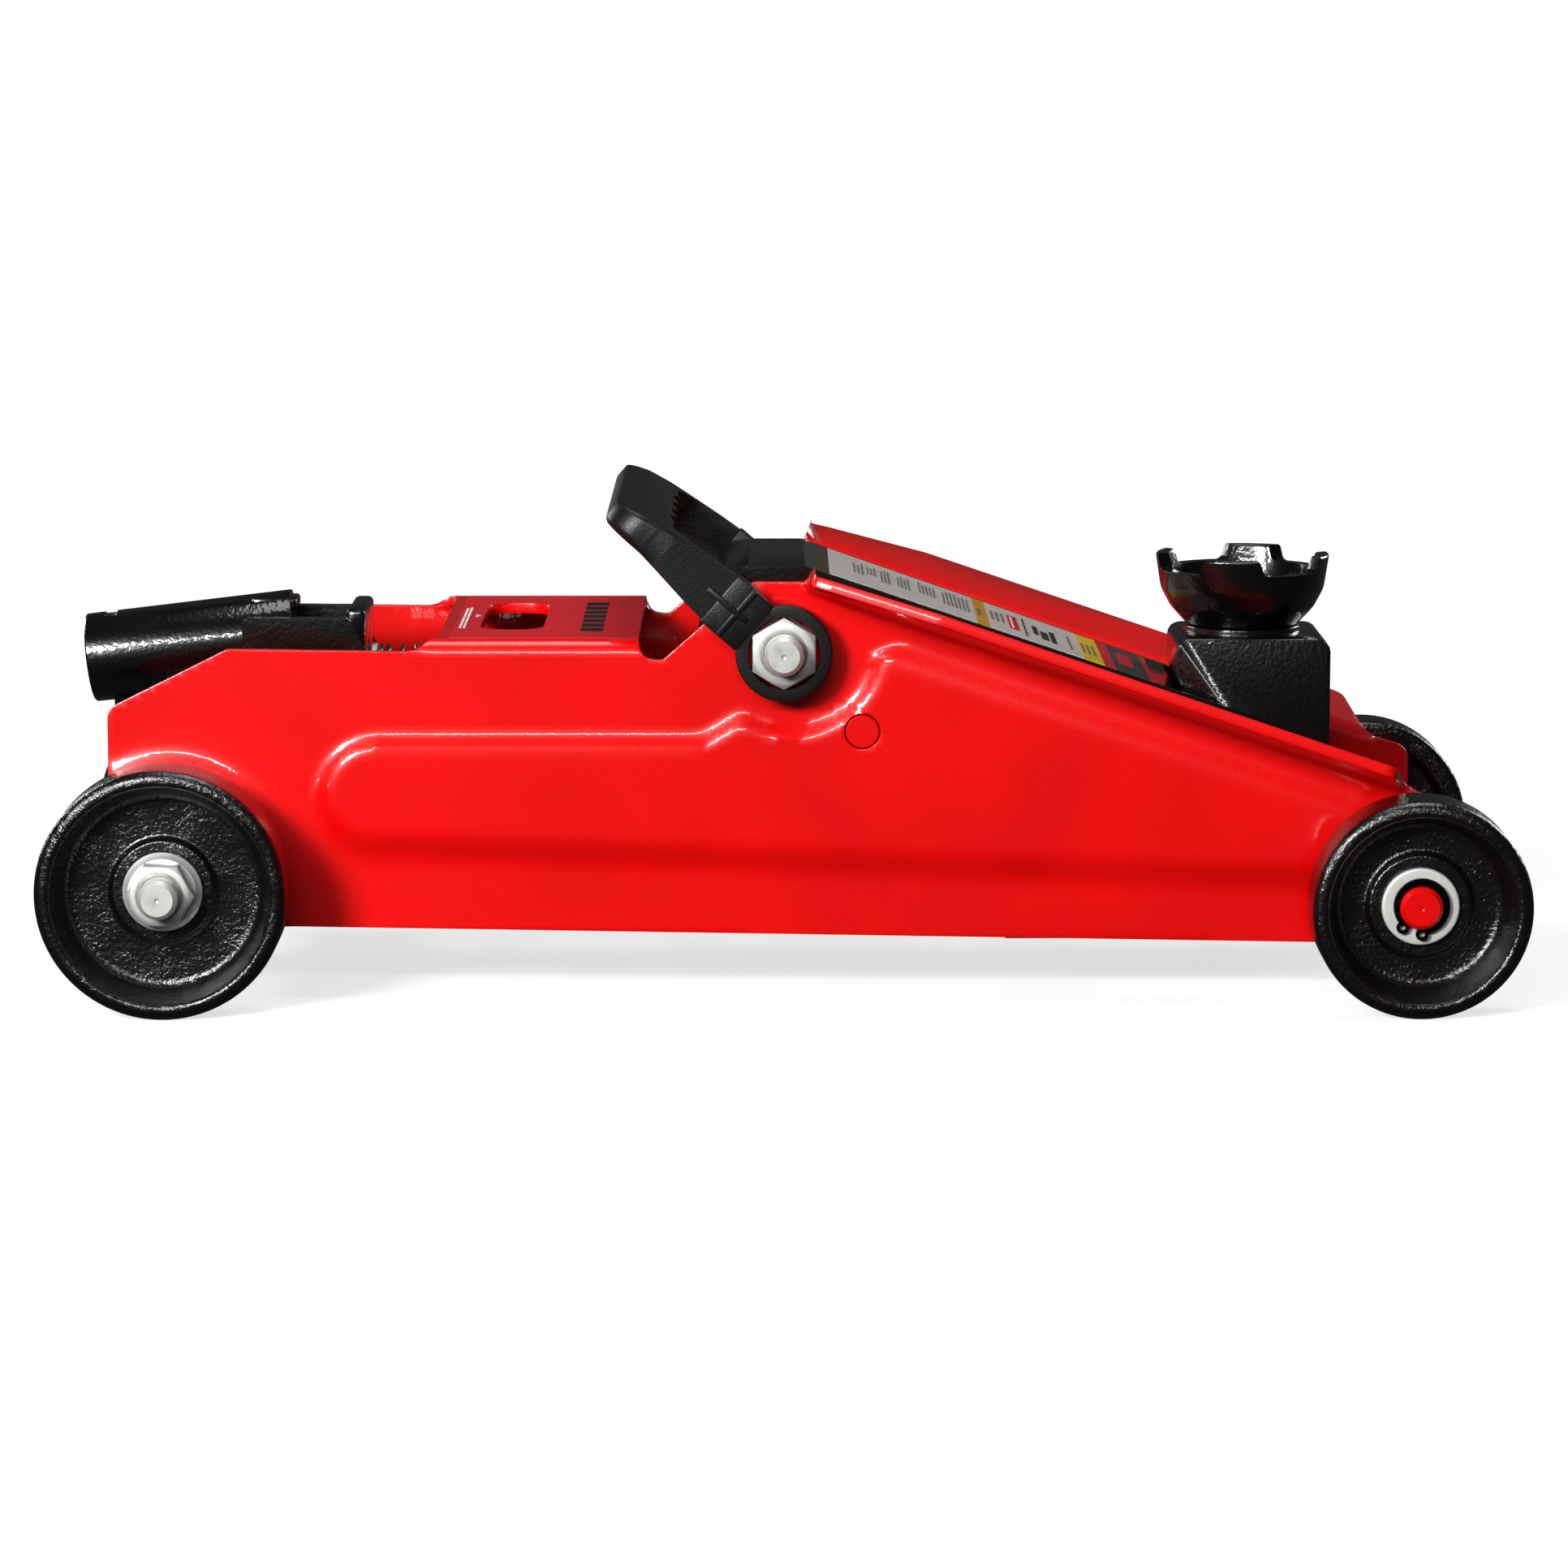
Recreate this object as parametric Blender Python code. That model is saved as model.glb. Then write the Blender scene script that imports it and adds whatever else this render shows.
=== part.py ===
"""Compact trolley jack: a pressed frame on four wheels, a lifting arm with a level saddle,
a small hydraulic unit pumped by a handle socket, and a folding carry handle.
Metres, +Z up, +X towards the saddle, the floor at Z = 0."""

import math

import bmesh
import bpy
from mathutils import Matrix, Vector

# Wheels and axles
REAR_AXLE = (-0.1845, 0.0374)
FRONT_AXLE = (0.1891, 0.0328)
REAR_RADIUS = REAR_AXLE[1]
FRONT_RADIUS = FRONT_AXLE[1]
WHEEL_FACE_Y = 0.093
WHEEL_BACK_Y = 0.0725
HUB_BACK_Y = 0.0622
HUB_FACE_Y = 0.0825
AXLE_RADIUS = 0.006
FRONT_AXLE_RADIUS = 0.0065

# Frame
SHEET = 0.0032
PLATE_Y = 0.058
REAR_TOP_Z = 0.1058
WEB_TOP_Z = 0.1093
WEB_REAR_X = -0.104
WEB_FRONT_X = -0.0436
WEB_HOLE_X = (-0.0926, -0.0732)
WEB_HOLE_HALF = 0.033
PEAK_Z = 0.1267
SLOPE_START = (0.0085, PEAK_Z)
SLOPE_END = (0.186, 0.0666)
FLANGE_WIDTH = 0.0245
FLANGE_TILT = math.radians(9)

# Joint axes, in the XZ plane
MAIN_PIVOT = (0.0, 0.1063)
SADDLE_PIN = (0.142, 0.055)
LINK_OFFSET = (0.0235, -0.0243)
LEVER_RADIUS = 0.040
LEVER_ANGLE = math.radians(40)
LEVER_PIN_RADIUS = 0.007
SOCKET_PIN = (-0.134, 0.084)
PUMP_Z = 0.0925
RAM_Z = 0.0666
RELEASE_Z = 0.062

# Lifting arm
ARM_HALF = 0.0385
ARM_SHEET = 0.005
ARM_TAPER = 0.2
ARM_TAPER_X = (0.01, 0.15)

# Hydraulic unit
RAM_RADIUS = 0.0125
CYLINDER_RADIUS = 0.017
CYLINDER_REAR_X = -0.124
CYLINDER_FRONT_X = -0.062
PUMP_FACE_X = -0.0867
UNIT_HALF = 0.027

# Saddle
SADDLE_RADIUS = 0.027
SADDLE_SEAT_Z = 0.1135
SADDLE_TOP_Z = 0.1292
STEM_RADIUS = 0.010

# Carry handle
BAIL_Y = (0.0606, 0.0668)
BAIL_ANGLE = math.radians(139)

GAP = 0.0003
FINE = 40
COARSE = 20

LINK_REAR = (MAIN_PIVOT[0] + LINK_OFFSET[0], MAIN_PIVOT[1] + LINK_OFFSET[1])
LINK_FRONT = (SADDLE_PIN[0] + LINK_OFFSET[0], SADDLE_PIN[1] + LINK_OFFSET[1])
LEVER_PIN = (
    MAIN_PIVOT[0] - LEVER_RADIUS * math.sin(LEVER_ANGLE),
    MAIN_PIVOT[1] - LEVER_RADIUS * math.cos(LEVER_ANGLE),
)

for old in list(bpy.data.objects):
    bpy.data.objects.remove(old, do_unlink=True)


# Materials


def make_material(name, colour, roughness, metallic):
    material = bpy.data.materials.new(name)
    material.use_nodes = True
    shader = material.node_tree.nodes["Principled BSDF"]
    shader.inputs["Base Color"].default_value = (*colour, 1.0)
    shader.inputs["Roughness"].default_value = roughness
    shader.inputs["Metallic"].default_value = metallic
    material.diffuse_color = (*colour, 1.0)
    return material


RED = make_material("red_enamel", (0.72, 0.008, 0.008), 0.25, 0.0)
BLACK = make_material("black_enamel", (0.012, 0.012, 0.012), 0.25, 0.0)
CAST = make_material("black_cast_wheel", (0.010, 0.010, 0.010), 0.4, 0.0)
ZINC = make_material("zinc_plate", (0.70, 0.71, 0.70), 0.3, 1.0)
STEEL = make_material("bright_steel", (0.62, 0.62, 0.61), 0.25, 1.0)
CHROME = make_material("hard_chrome", (0.80, 0.81, 0.82), 0.1, 1.0)
PLASTIC = make_material("black_moulded_plastic", (0.02, 0.02, 0.02), 0.55, 0.0)
RUBBER = make_material("black_rubber", (0.02, 0.02, 0.02), 0.8, 0.0)


# Modelling helpers


def keep(name, bm, material, pivot=None):
    """Turn a bmesh into a named object, its faces outwards and its origin at the pivot."""
    bmesh.ops.remove_doubles(bm, verts=bm.verts, dist=1e-6)
    bmesh.ops.recalc_face_normals(bm, faces=bm.faces)
    mesh = bpy.data.meshes.new(name)
    bm.to_mesh(mesh)
    bm.free()
    mesh.materials.append(material)
    mesh.shade_smooth()
    mesh.set_sharp_from_angle(angle=math.radians(35))
    obj = bpy.data.objects.new(name, mesh)
    bpy.context.scene.collection.objects.link(obj)
    if pivot is not None:
        mesh.transform(Matrix.Translation(-Vector(pivot)))
        obj.location = pivot
    return obj


def helper(obj):
    obj.hide_render = True
    obj.display_type = "WIRE"
    return obj


def combine(obj, other, operation):
    modifier = obj.modifiers.new(operation.lower(), "BOOLEAN")
    modifier.operation = operation
    modifier.solver = "EXACT"
    modifier.use_self = True
    modifier.object = helper(other)


def cut(obj, *cutters):
    """Cut all the holes in one step: the cutters are gathered into the first one's mesh."""
    gathered = bmesh.new()
    for cutter in cutters:
        cutter.data.transform(Matrix.Translation(cutter.location))
        gathered.from_mesh(cutter.data)
    first, *rest = cutters
    gathered.to_mesh(first.data)
    gathered.free()
    first.location = (0, 0, 0)
    for cutter in rest:
        bpy.data.objects.remove(cutter, do_unlink=True)
    combine(obj, first, "DIFFERENCE")


def join(obj, *others):
    for other in others:
        combine(obj, other, "UNION")


def rounded(corners, steps=4):
    """An outline from (x, z, radius) corners, each corner turned into a short arc."""
    outline = []
    count = len(corners)
    for index, (x, z, radius) in enumerate(corners):
        here = Vector((x, z))
        before = (Vector(corners[index - 1][:2]) - here).normalized()
        after = (Vector(corners[(index + 1) % count][:2]) - here).normalized()
        if radius == 0:
            outline.append(tuple(here))
            continue
        half = before.angle(after) / 2
        centre = here + (before + after).normalized() * radius / math.sin(half)
        start = here + before * radius / math.tan(half) - centre
        end = here + after * radius / math.tan(half) - centre
        turn = start.angle_signed(end)
        for step in range(steps + 1):
            angle = -turn * step / steps
            outline.append(tuple(centre + Matrix.Rotation(angle, 2) @ start))
    return outline


def circle_points(centre, radius, segments):
    return [
        (
            centre[0] + radius * math.cos(math.tau * i / segments),
            centre[1] + radius * math.sin(math.tau * i / segments),
        )
        for i in range(segments)
    ]


def extruded(outline, low, high):
    """A closed prism: an outline in (x, z), from y = low to y = high."""
    bm = bmesh.new()
    face = bm.faces.new([bm.verts.new((x, low, z)) for x, z in outline])
    grown = bmesh.ops.extrude_face_region(bm, geom=[face], use_keep_orig=True)
    moved = [item for item in grown["geom"] if isinstance(item, bmesh.types.BMVert)]
    bmesh.ops.translate(bm, verts=moved, vec=(0, high - low, 0))
    return bm


def prism(name, outline, low, high, material=BLACK, pivot=None):
    return keep(name, extruded(outline, low, high), material, pivot)


def block(name, low, high, material=BLACK, bevel=0.0, pivot=None):
    bm = bmesh.new()
    size = Vector(high) - Vector(low)
    middle = (Vector(high) + Vector(low)) / 2
    place = Matrix.Translation(middle) @ Matrix.Diagonal((*size, 1))
    bmesh.ops.create_cube(bm, size=1, matrix=place)
    if bevel:
        bmesh.ops.bevel(
            bm, geom=bm.edges[:], offset=bevel, segments=2, profile=0.5, affect="EDGES", material=-1
        )
    return keep(name, bm, material, pivot)


AXES = {
    "X": Matrix.Rotation(math.pi / 2, 4, "Y"),
    "Y": Matrix.Rotation(-math.pi / 2, 4, "X"),
    "Z": Matrix.Identity(4),
}
# Lays a prism, which is drawn in (x, z), flat so that its outline is in (x, y)
FLAT = Matrix(((1, 0, 0, 0), (0, 0, 1, 0), (0, 1, 0, 0), (0, 0, 0, 1)))


def spin(bm, profile, segments):
    """Sweep a profile once round the Z axis."""
    bmesh.ops.spin(
        bm,
        geom=profile,
        cent=(0, 0, 0),
        axis=(0, 0, 1),
        angle=math.tau,
        steps=segments,
        use_merge=True,
    )


def turned(name, profile, centre, axis, material=ZINC, segments=FINE, closed=False, pivot=None):
    """A turned piece: (place along the axis, radius) points, spun round the axis through centre."""
    bm = bmesh.new()
    points = [bm.verts.new((radius, 0, along)) for along, radius in profile]
    pairs = list(zip(points, points[1:]))
    if closed:
        pairs.append((points[-1], points[0]))
    edges = [bm.edges.new(pair) for pair in pairs]
    spin(bm, points + edges, segments)
    bmesh.ops.transform(bm, matrix=Matrix.Translation(centre) @ AXES[axis], verts=bm.verts)
    return keep(name, bm, material, pivot)


def rod(name, low, high, radius, centre, axis="Y", material=ZINC, chamfer=0.0, segments=FINE, pivot=None):
    """A solid round bar from low to high along the axis, measured from centre."""
    profile = [(low, 0), (low, radius - chamfer), (low + chamfer, radius)]
    profile += [(high - chamfer, radius), (high, radius - chamfer), (high, 0)]
    if not chamfer:
        profile = [(low, 0), (low, radius), (high, radius), (high, 0)]
    return turned(name, profile, centre, axis, material, segments, pivot=pivot)


def ring(name, low, high, inner, outer, centre, axis="Y", material=ZINC, segments=FINE, pivot=None):
    profile = [(low, inner), (low, outer), (high, outer), (high, inner)]
    return turned(name, profile, centre, axis, material, segments, closed=True, pivot=pivot)


def at(place, y=0.0):
    """A point of the XZ plane as a 3-D place."""
    return (place[0], y, place[1])


def bore(name, place, radius, reach=0.12, segments=FINE):
    """A cutter right across the jack, along Y."""
    return rod(name, -reach, reach, radius, at(place), segments=segments)


def hexagon(centre, across_flats, turn=0.0):
    radius = across_flats / math.sqrt(3)
    return [
        (
            centre[0] + radius * math.cos(turn + math.tau * i / 6),
            centre[1] + radius * math.sin(turn + math.tau * i / 6),
        )
        for i in range(6)
    ]


SIDES = {"near": -1, "far": 1}


def across(side, near, far):
    """The y range of a piece that lies between two distances from the middle plane."""
    return tuple(sorted((side * near, side * far)))


def side_rod(name, side, near, far, radius, place, **settings):
    low, high = across(side, near, far)
    return rod(name, low, high, radius, at(place), **settings)


def side_ring(name, side, near, far, inner, outer, place, **settings):
    low, high = across(side, near, far)
    return ring(name, low, high, inner, outer, at(place), **settings)


# Frame: two side plates, a top web with an oval hole, and an outward flange along each slope


def plate_outline():
    return rounded(
        [
            (-0.2030, 0.0240, 0.012),
            (-0.2030, 0.0885, 0.006),
            (-0.1668, 0.1065, 0.006),
            (-0.1185, REAR_TOP_Z, 0.010),
            (-0.1060, WEB_TOP_Z, 0.006),
            (WEB_FRONT_X, WEB_TOP_Z, 0.002),
            (-0.0380, 0.1022, 0.0035),
            (-0.0095, PEAK_Z, 0.004),
            (SLOPE_START[0], SLOPE_START[1], 0.004),
            (SLOPE_END[0], SLOPE_END[1], 0.002),
            (0.1905, 0.0628, 0.004),
            (0.2008, 0.0602, 0.005),
            (0.2008, 0.0180, 0.014),
            (0.1614, 0.0173, 0.010),
            (-0.1500, 0.0223, 0.020),
        ]
    )


def side_plate(name, side):
    low, high = across(side, PLATE_Y - SHEET, PLATE_Y)
    return prism(name, plate_outline(), low, high, RED)


def flange(name, side):
    """The flange is drawn flat as (along the slope, outwards), then laid on the slope."""
    along = Vector((SLOPE_END[0] - SLOPE_START[0], 0, SLOPE_END[1] - SLOPE_START[1]))
    length = along.length
    along.normalize()
    up = Vector((-along.z, 0, along.x))
    out = Vector((0, side * math.cos(FLANGE_TILT), 0)) + up * math.sin(FLANGE_TILT)
    down = along.cross(out) * side
    inside = 0.0016
    outline = rounded(
        [
            (0.000, -inside, 0),
            (0.000, 0.0085, 0.003),
            (0.038, FLANGE_WIDTH, 0.004),
            (length - 0.0065, FLANGE_WIDTH, 0.003),
            (length - 0.0010, 0.004, 0.002),
            (length - 0.0010, -inside, 0),
        ],
        steps=3,
    )
    bm = extruded(outline, 0, SHEET)
    start = Vector(at(SLOPE_START, side * (PLATE_Y - inside)))
    axes = Matrix((along, down, out)).transposed().to_4x4()
    bmesh.ops.transform(bm, matrix=Matrix.Translation(start) @ axes, verts=bm.verts)
    return keep(name, bm, RED)


def make_frame():
    frame = side_plate("frame", -1)
    half = PLATE_Y - SHEET / 2
    web = block(
        "web_blank",
        (WEB_REAR_X, -half, WEB_TOP_Z - SHEET),
        (WEB_FRONT_X - 0.001, half, WEB_TOP_Z - 0.0001),
        RED,
    )
    rear, front = WEB_HOLE_X
    oval = [
        (rear, -WEB_HOLE_HALF, 0.008),
        (rear, WEB_HOLE_HALF, 0.008),
        (front, WEB_HOLE_HALF, 0.008),
        (front, -WEB_HOLE_HALF, 0.008),
    ]
    hole = extruded(rounded(oval), 0.09, 0.12)
    bmesh.ops.transform(hole, matrix=FLAT, verts=hole.verts)
    join(
        frame,
        web,
        side_plate("far_plate_blank", 1),
        flange("near_flange_blank", -1),
        flange("far_flange_blank", 1),
    )
    cut(
        frame,
        keep("web_hole_cutter", hole, RED),
        bore("main_pivot_cutter", MAIN_PIVOT, AXLE_RADIUS + GAP, segments=COARSE),
        bore("rear_axle_cutter", REAR_AXLE, AXLE_RADIUS + GAP, segments=COARSE),
        bore("front_axle_cutter", FRONT_AXLE, FRONT_AXLE_RADIUS + GAP, segments=COARSE),
        bore("link_stud_cutter", LINK_REAR, 0.005 + GAP, segments=COARSE),
    )


make_frame()

half_inside = PLATE_Y - SHEET - GAP
block("bottom_tie", (0.067, -half_inside, 0.0179), (0.095, half_inside, 0.0225))
base_plate = block("unit_base_plate", (-0.150, -half_inside, 0.0235), (-0.112, half_inside, 0.0277))


# Wheels, axles and what holds them


def wheel(name, side, axle, radius, bore_radius, rim):
    """A cast wheel with a deep dish on the outside and a hub that reaches in to the frame."""
    profile = [
        (HUB_BACK_Y, bore_radius),
        (HUB_BACK_Y, 0.0115),
        (WHEEL_BACK_Y + 0.003, 0.0125),
        (WHEEL_BACK_Y + 0.003, radius - rim),
        (WHEEL_BACK_Y, radius - rim + 0.002),
        (WHEEL_BACK_Y, radius - 0.002),
        (WHEEL_BACK_Y + 0.0025, radius),
        (WHEEL_FACE_Y - 0.005, radius),
        (WHEEL_FACE_Y, radius - 0.0022),
        (WHEEL_FACE_Y, radius - rim + 0.001),
        (WHEEL_FACE_Y - 0.003, radius - rim - 0.001),
        (HUB_FACE_Y - 0.001, 0.0165),
        (HUB_FACE_Y, 0.0145),
        (HUB_FACE_Y, bore_radius),
    ]
    if side < 0:
        profile = [(-place, r) for place, r in profile]
    turned(name, profile, at(axle), "Y", CAST, closed=True, pivot=at(axle))


def flange_nut(name, side, place, seat, flange_radius, thread_radius, turn=0.0, across_flats=0.0177):
    """A hexagon nut with a round flange under it."""
    low, high = across(side, seat + 0.0016, seat + 0.0095)
    nut = prism(name, hexagon(place, across_flats, turn), low, high, ZINC)
    join(nut, side_rod(name + "_flange", side, seat, seat + 0.0025, flange_radius, place, segments=FINE))
    cut(nut, bore(name + "_thread", place, thread_radius + GAP, segments=COARSE))


def circlip(name, side, seat, inner, outer, place, gap_angle):
    """A retaining ring: an open C with an eye at each end."""
    half_gap = 0.35
    steps = 14
    sweep = math.tau - 2 * half_gap
    angles = [gap_angle + half_gap + sweep * i / steps for i in range(steps + 1)]
    outside = [(place[0] + outer * math.cos(a), place[1] + outer * math.sin(a)) for a in angles]
    inside = [(place[0] + inner * math.cos(a), place[1] + inner * math.sin(a)) for a in reversed(angles)]
    low, high = across(side, seat, seat + 0.0012)
    ring_body = prism(name, outside + inside, low, high)
    middle = (inner + outer) / 2 + 0.0008
    for end, angle in (("a", angles[0]), ("b", angles[-1])):
        eye = (place[0] + middle * math.cos(angle), place[1] + middle * math.sin(angle))
        join(ring_body, prism(f"{name}_eye_{end}", circle_points(eye, 0.0021, 10), low, high))


rod("rear_axle", -0.0995, 0.0995, AXLE_RADIUS, at(REAR_AXLE), chamfer=0.001, segments=COARSE)
rod(
    "front_axle",
    -0.088,
    0.088,
    FRONT_AXLE_RADIUS,
    at(FRONT_AXLE),
    material=RED,
    chamfer=0.001,
    segments=COARSE,
)
for word, side in SIDES.items():
    wheel(f"rear_wheel_{word}", side, REAR_AXLE, REAR_RADIUS, AXLE_RADIUS + GAP, 0.0085)
    wheel(f"front_wheel_{word}", side, FRONT_AXLE, FRONT_RADIUS, FRONT_AXLE_RADIUS + GAP, 0.0075)
    flange_nut(f"rear_axle_nut_{word}", side, REAR_AXLE, HUB_FACE_Y + GAP, 0.0119, AXLE_RADIUS, 0.5)
    washer_seat = HUB_FACE_Y + GAP
    side_ring(
        f"front_washer_{word}",
        side,
        washer_seat,
        washer_seat + 0.0016,
        FRONT_AXLE_RADIUS + GAP,
        0.0116,
        FRONT_AXLE,
        segments=COARSE,
    )
    circlip(
        f"front_circlip_{word}",
        side,
        washer_seat + 0.0019,
        FRONT_AXLE_RADIUS + GAP,
        0.0092,
        FRONT_AXLE,
        math.radians(245),
    )


# Lifting arm: a channel that narrows towards the saddle, with a lever below its pivot


def arm_outline():
    return rounded(
        [
            (-0.0225, 0.1293, 0.014),
            (0.0060, 0.1293, 0.006),
            (0.1500, 0.0801, 0.008),
            (0.1590, 0.0520, 0.012),
            (0.1410, 0.0390, 0.012),
            (0.0600, 0.0680, 0.030),
            (0.0010, 0.0670, 0.016),
            (-0.0290, 0.0600, 0.010),
            (-0.0410, 0.0770, 0.010),
            (-0.0270, 0.1000, 0.010),
        ]
    )


def top_outline():
    return rounded(
        [
            (-0.0225, 0.1293, 0.014),
            (0.0060, 0.1293, 0.006),
            (0.1195, 0.0905, 0),
            (0.1179, 0.0857, 0),
            (0.0050, 0.1243, 0.006),
            (-0.0175, 0.1243, 0.010),
            (-0.0205, 0.1150, 0),
            (-0.0255, 0.1160, 0),
        ]
    )


def taper(bm):
    """Draw the channel in towards the middle plane as it runs forward."""
    start, end = ARM_TAPER_X
    for vert in bm.verts:
        share = min(max((vert.co.x - start) / (end - start), 0), 1)
        vert.co.y *= 1 - ARM_TAPER * share


def make_arm():
    pivot = at(MAIN_PIVOT)
    wall = extruded(arm_outline(), -ARM_HALF, ARM_SHEET - ARM_HALF)
    taper(wall)
    arm = keep("lift_arm", wall, BLACK, pivot)
    far_wall = extruded(arm_outline(), ARM_HALF - ARM_SHEET, ARM_HALF)
    taper(far_wall)
    top = extruded(top_outline(), 0.0015 - ARM_HALF, ARM_HALF - 0.0015)
    taper(top)
    inside = ARM_HALF - ARM_SHEET + 0.001
    join(
        arm,
        keep("far_wall_blank", far_wall, BLACK),
        keep("arm_top_blank", top, BLACK),
        rod("arm_tube_blank", -inside, inside, 0.013, pivot, segments=COARSE),
    )
    cut(
        arm,
        bore("arm_pivot_cutter", MAIN_PIVOT, AXLE_RADIUS + GAP, segments=COARSE),
        bore("arm_saddle_cutter", SADDLE_PIN, 0.006 + GAP, segments=COARSE),
        bore("arm_lever_cutter", LEVER_PIN, LEVER_PIN_RADIUS + GAP, segments=COARSE),
    )


make_arm()
rod("pivot_bolt", -0.0745, 0.0745, AXLE_RADIUS, at(MAIN_PIVOT), chamfer=0.001, segments=COARSE)
rod(
    "arm_lever_pin",
    -0.041,
    0.041,
    LEVER_PIN_RADIUS,
    at(LEVER_PIN),
    chamfer=0.001,
    segments=COARSE,
    pivot=at(MAIN_PIVOT),
)
for word, side in SIDES.items():
    side_ring(
        f"pivot_spacer_{word}",
        side,
        ARM_HALF + GAP,
        PLATE_Y - SHEET - GAP,
        AXLE_RADIUS + GAP,
        0.010,
        MAIN_PIVOT,
        segments=COARSE,
    )
    flange_nut(f"pivot_nut_{word}", side, MAIN_PIVOT, PLATE_Y + GAP, 0.0094, AXLE_RADIUS)


# Saddle base, saddle and the two link rods that keep them level


def make_saddle_base():
    front = LINK_FRONT
    outline = rounded(
        [
            (0.1205, 0.1050, 0.004),
            (0.1675, 0.1050, 0.004),
            (0.1675, 0.0560, 0.010),
            (front[0] + 0.0095, front[1] + 0.008, 0.006),
            (front[0] + 0.0095, front[1] - 0.0093, 0.008),
            (front[0] - 0.0110, front[1] - 0.0093, 0.008),
            (0.1240, 0.0400, 0.010),
            (0.1240, 0.0850, 0.010),
            (0.1205, 0.0930, 0.004),
        ]
    )
    base = prism("saddle_base", outline, -0.0225, 0.0225, pivot=at(SADDLE_PIN))
    middle = (SADDLE_PIN[0], 0, 0)
    join(base, rod("base_collar_blank", 0.1030, 0.1070, 0.0180, middle, axis="Z", segments=COARSE))
    cut(
        base,
        rod("stem_bore_cutter", 0.0840, 0.1200, STEM_RADIUS + GAP, middle, axis="Z", segments=COARSE),
        bore("base_pin_cutter", SADDLE_PIN, 0.006 + GAP, segments=COARSE),
        bore("base_link_cutter", front, 0.005 + GAP, segments=COARSE),
    )


def make_saddle():
    """A round cup with a lug at each quarter, turning on a stem in the base."""
    profile = [
        (0.0850, 0),
        (0.0850, STEM_RADIUS - 0.001),
        (0.0860, STEM_RADIUS),
        (0.1073, STEM_RADIUS),
        (0.1073, 0.0170),
        (0.1100, 0.0225),
        (0.1165, SADDLE_RADIUS),
        (0.1215, SADDLE_RADIUS),
        (0.1215, SADDLE_RADIUS - 0.0045),
        (0.1165, SADDLE_RADIUS - 0.0060),
        (SADDLE_SEAT_Z, 0.0180),
        (SADDLE_SEAT_Z, 0),
    ]
    middle = (SADDLE_PIN[0], 0, 0)
    saddle = turned("saddle", profile, middle, "Z", BLACK, pivot=(SADDLE_PIN[0], 0, SADDLE_SEAT_Z))
    for index in range(4):
        angle = math.tau * index / 4
        outline = rounded(
            [
                (SADDLE_RADIUS - 0.0002, 0.1180, 0),
                (SADDLE_RADIUS - 0.0002, SADDLE_TOP_Z, 0.0015),
                (SADDLE_RADIUS - 0.0060, SADDLE_TOP_Z, 0.0015),
                (SADDLE_RADIUS - 0.0044, 0.1180, 0),
            ],
            steps=2,
        )
        lug = extruded(outline, -0.0075, 0.0075)
        place = Matrix.Translation(middle) @ Matrix.Rotation(angle, 4, "Z")
        bmesh.ops.transform(lug, matrix=place, verts=lug.verts)
        join(saddle, keep(f"saddle_lug_blank_{index}", lug, BLACK))


def link_rod(name, side):
    low, high = across(side, 0.0425, 0.0475)
    along = Vector((LINK_FRONT[0] - LINK_REAR[0], LINK_FRONT[1] - LINK_REAR[1])).normalized()
    beside = Vector((-along.y, along.x)) * 0.006
    ends = [Vector(LINK_REAR), Vector(LINK_FRONT)]
    outline = [tuple(p) for p in (ends[0] + beside, ends[0] - beside, ends[1] - beside, ends[1] + beside)]
    bar = prism(name, outline, low, high, pivot=at(LINK_REAR))
    for index, end in enumerate(ends):
        join(bar, side_rod(f"{name}_eye_{index}", side, 0.0421, 0.0479, 0.009, tuple(end), segments=COARSE))
        cut(bar, bore(f"{name}_hole_{index}", tuple(end), 0.005 + GAP, segments=COARSE))


make_saddle_base()
make_saddle()
for name, half, radius, place in (
    ("saddle_base_pin", 0.0365, 0.006, SADDLE_PIN),
    ("link_front_pin", 0.0510, 0.005, LINK_FRONT),
):
    rod(name, -half, half, radius, at(place), chamfer=0.001, segments=COARSE, pivot=at(SADDLE_PIN))
for word, side in SIDES.items():
    link_rod(f"link_rod_{word}", side)
    low, high = across(side, 0.0415, PLATE_Y + 0.0003)
    rod(f"link_stud_{word}", low, high, 0.005, at(LINK_REAR), material=RED, segments=COARSE)
    for name, seat, pin_radius, outer, place in (
        ("link_pin_clip", 0.0483, 0.005, 0.0080, LINK_FRONT),
        ("saddle_pin_clip", 0.0330, 0.006, 0.0090, SADDLE_PIN),
    ):
        side_ring(
            f"{name}_{word}",
            side,
            seat,
            seat + 0.0012,
            pin_radius + GAP,
            outer,
            place,
            segments=COARSE,
            pivot=at(SADDLE_PIN),
        )


# Hydraulic unit: block, ram cylinder and pump barrel in one casting, with the ram and its head


BASE_SCREW_X = -0.131
BASE_SCREW_Y = 0.017
FILLER_X = -0.1302
VALVE_PLACE = (-0.137, 0, 0.042)


def screw_bores(name, top):
    """Cutters for the two screws that hold the unit down on its plate."""
    return [
        rod(
            f"{name}_{word}",
            0.020,
            top,
            0.004 + GAP,
            (BASE_SCREW_X, side * BASE_SCREW_Y, 0),
            axis="Z",
            segments=COARSE,
        )
        for word, side in SIDES.items()
    ]


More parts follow.
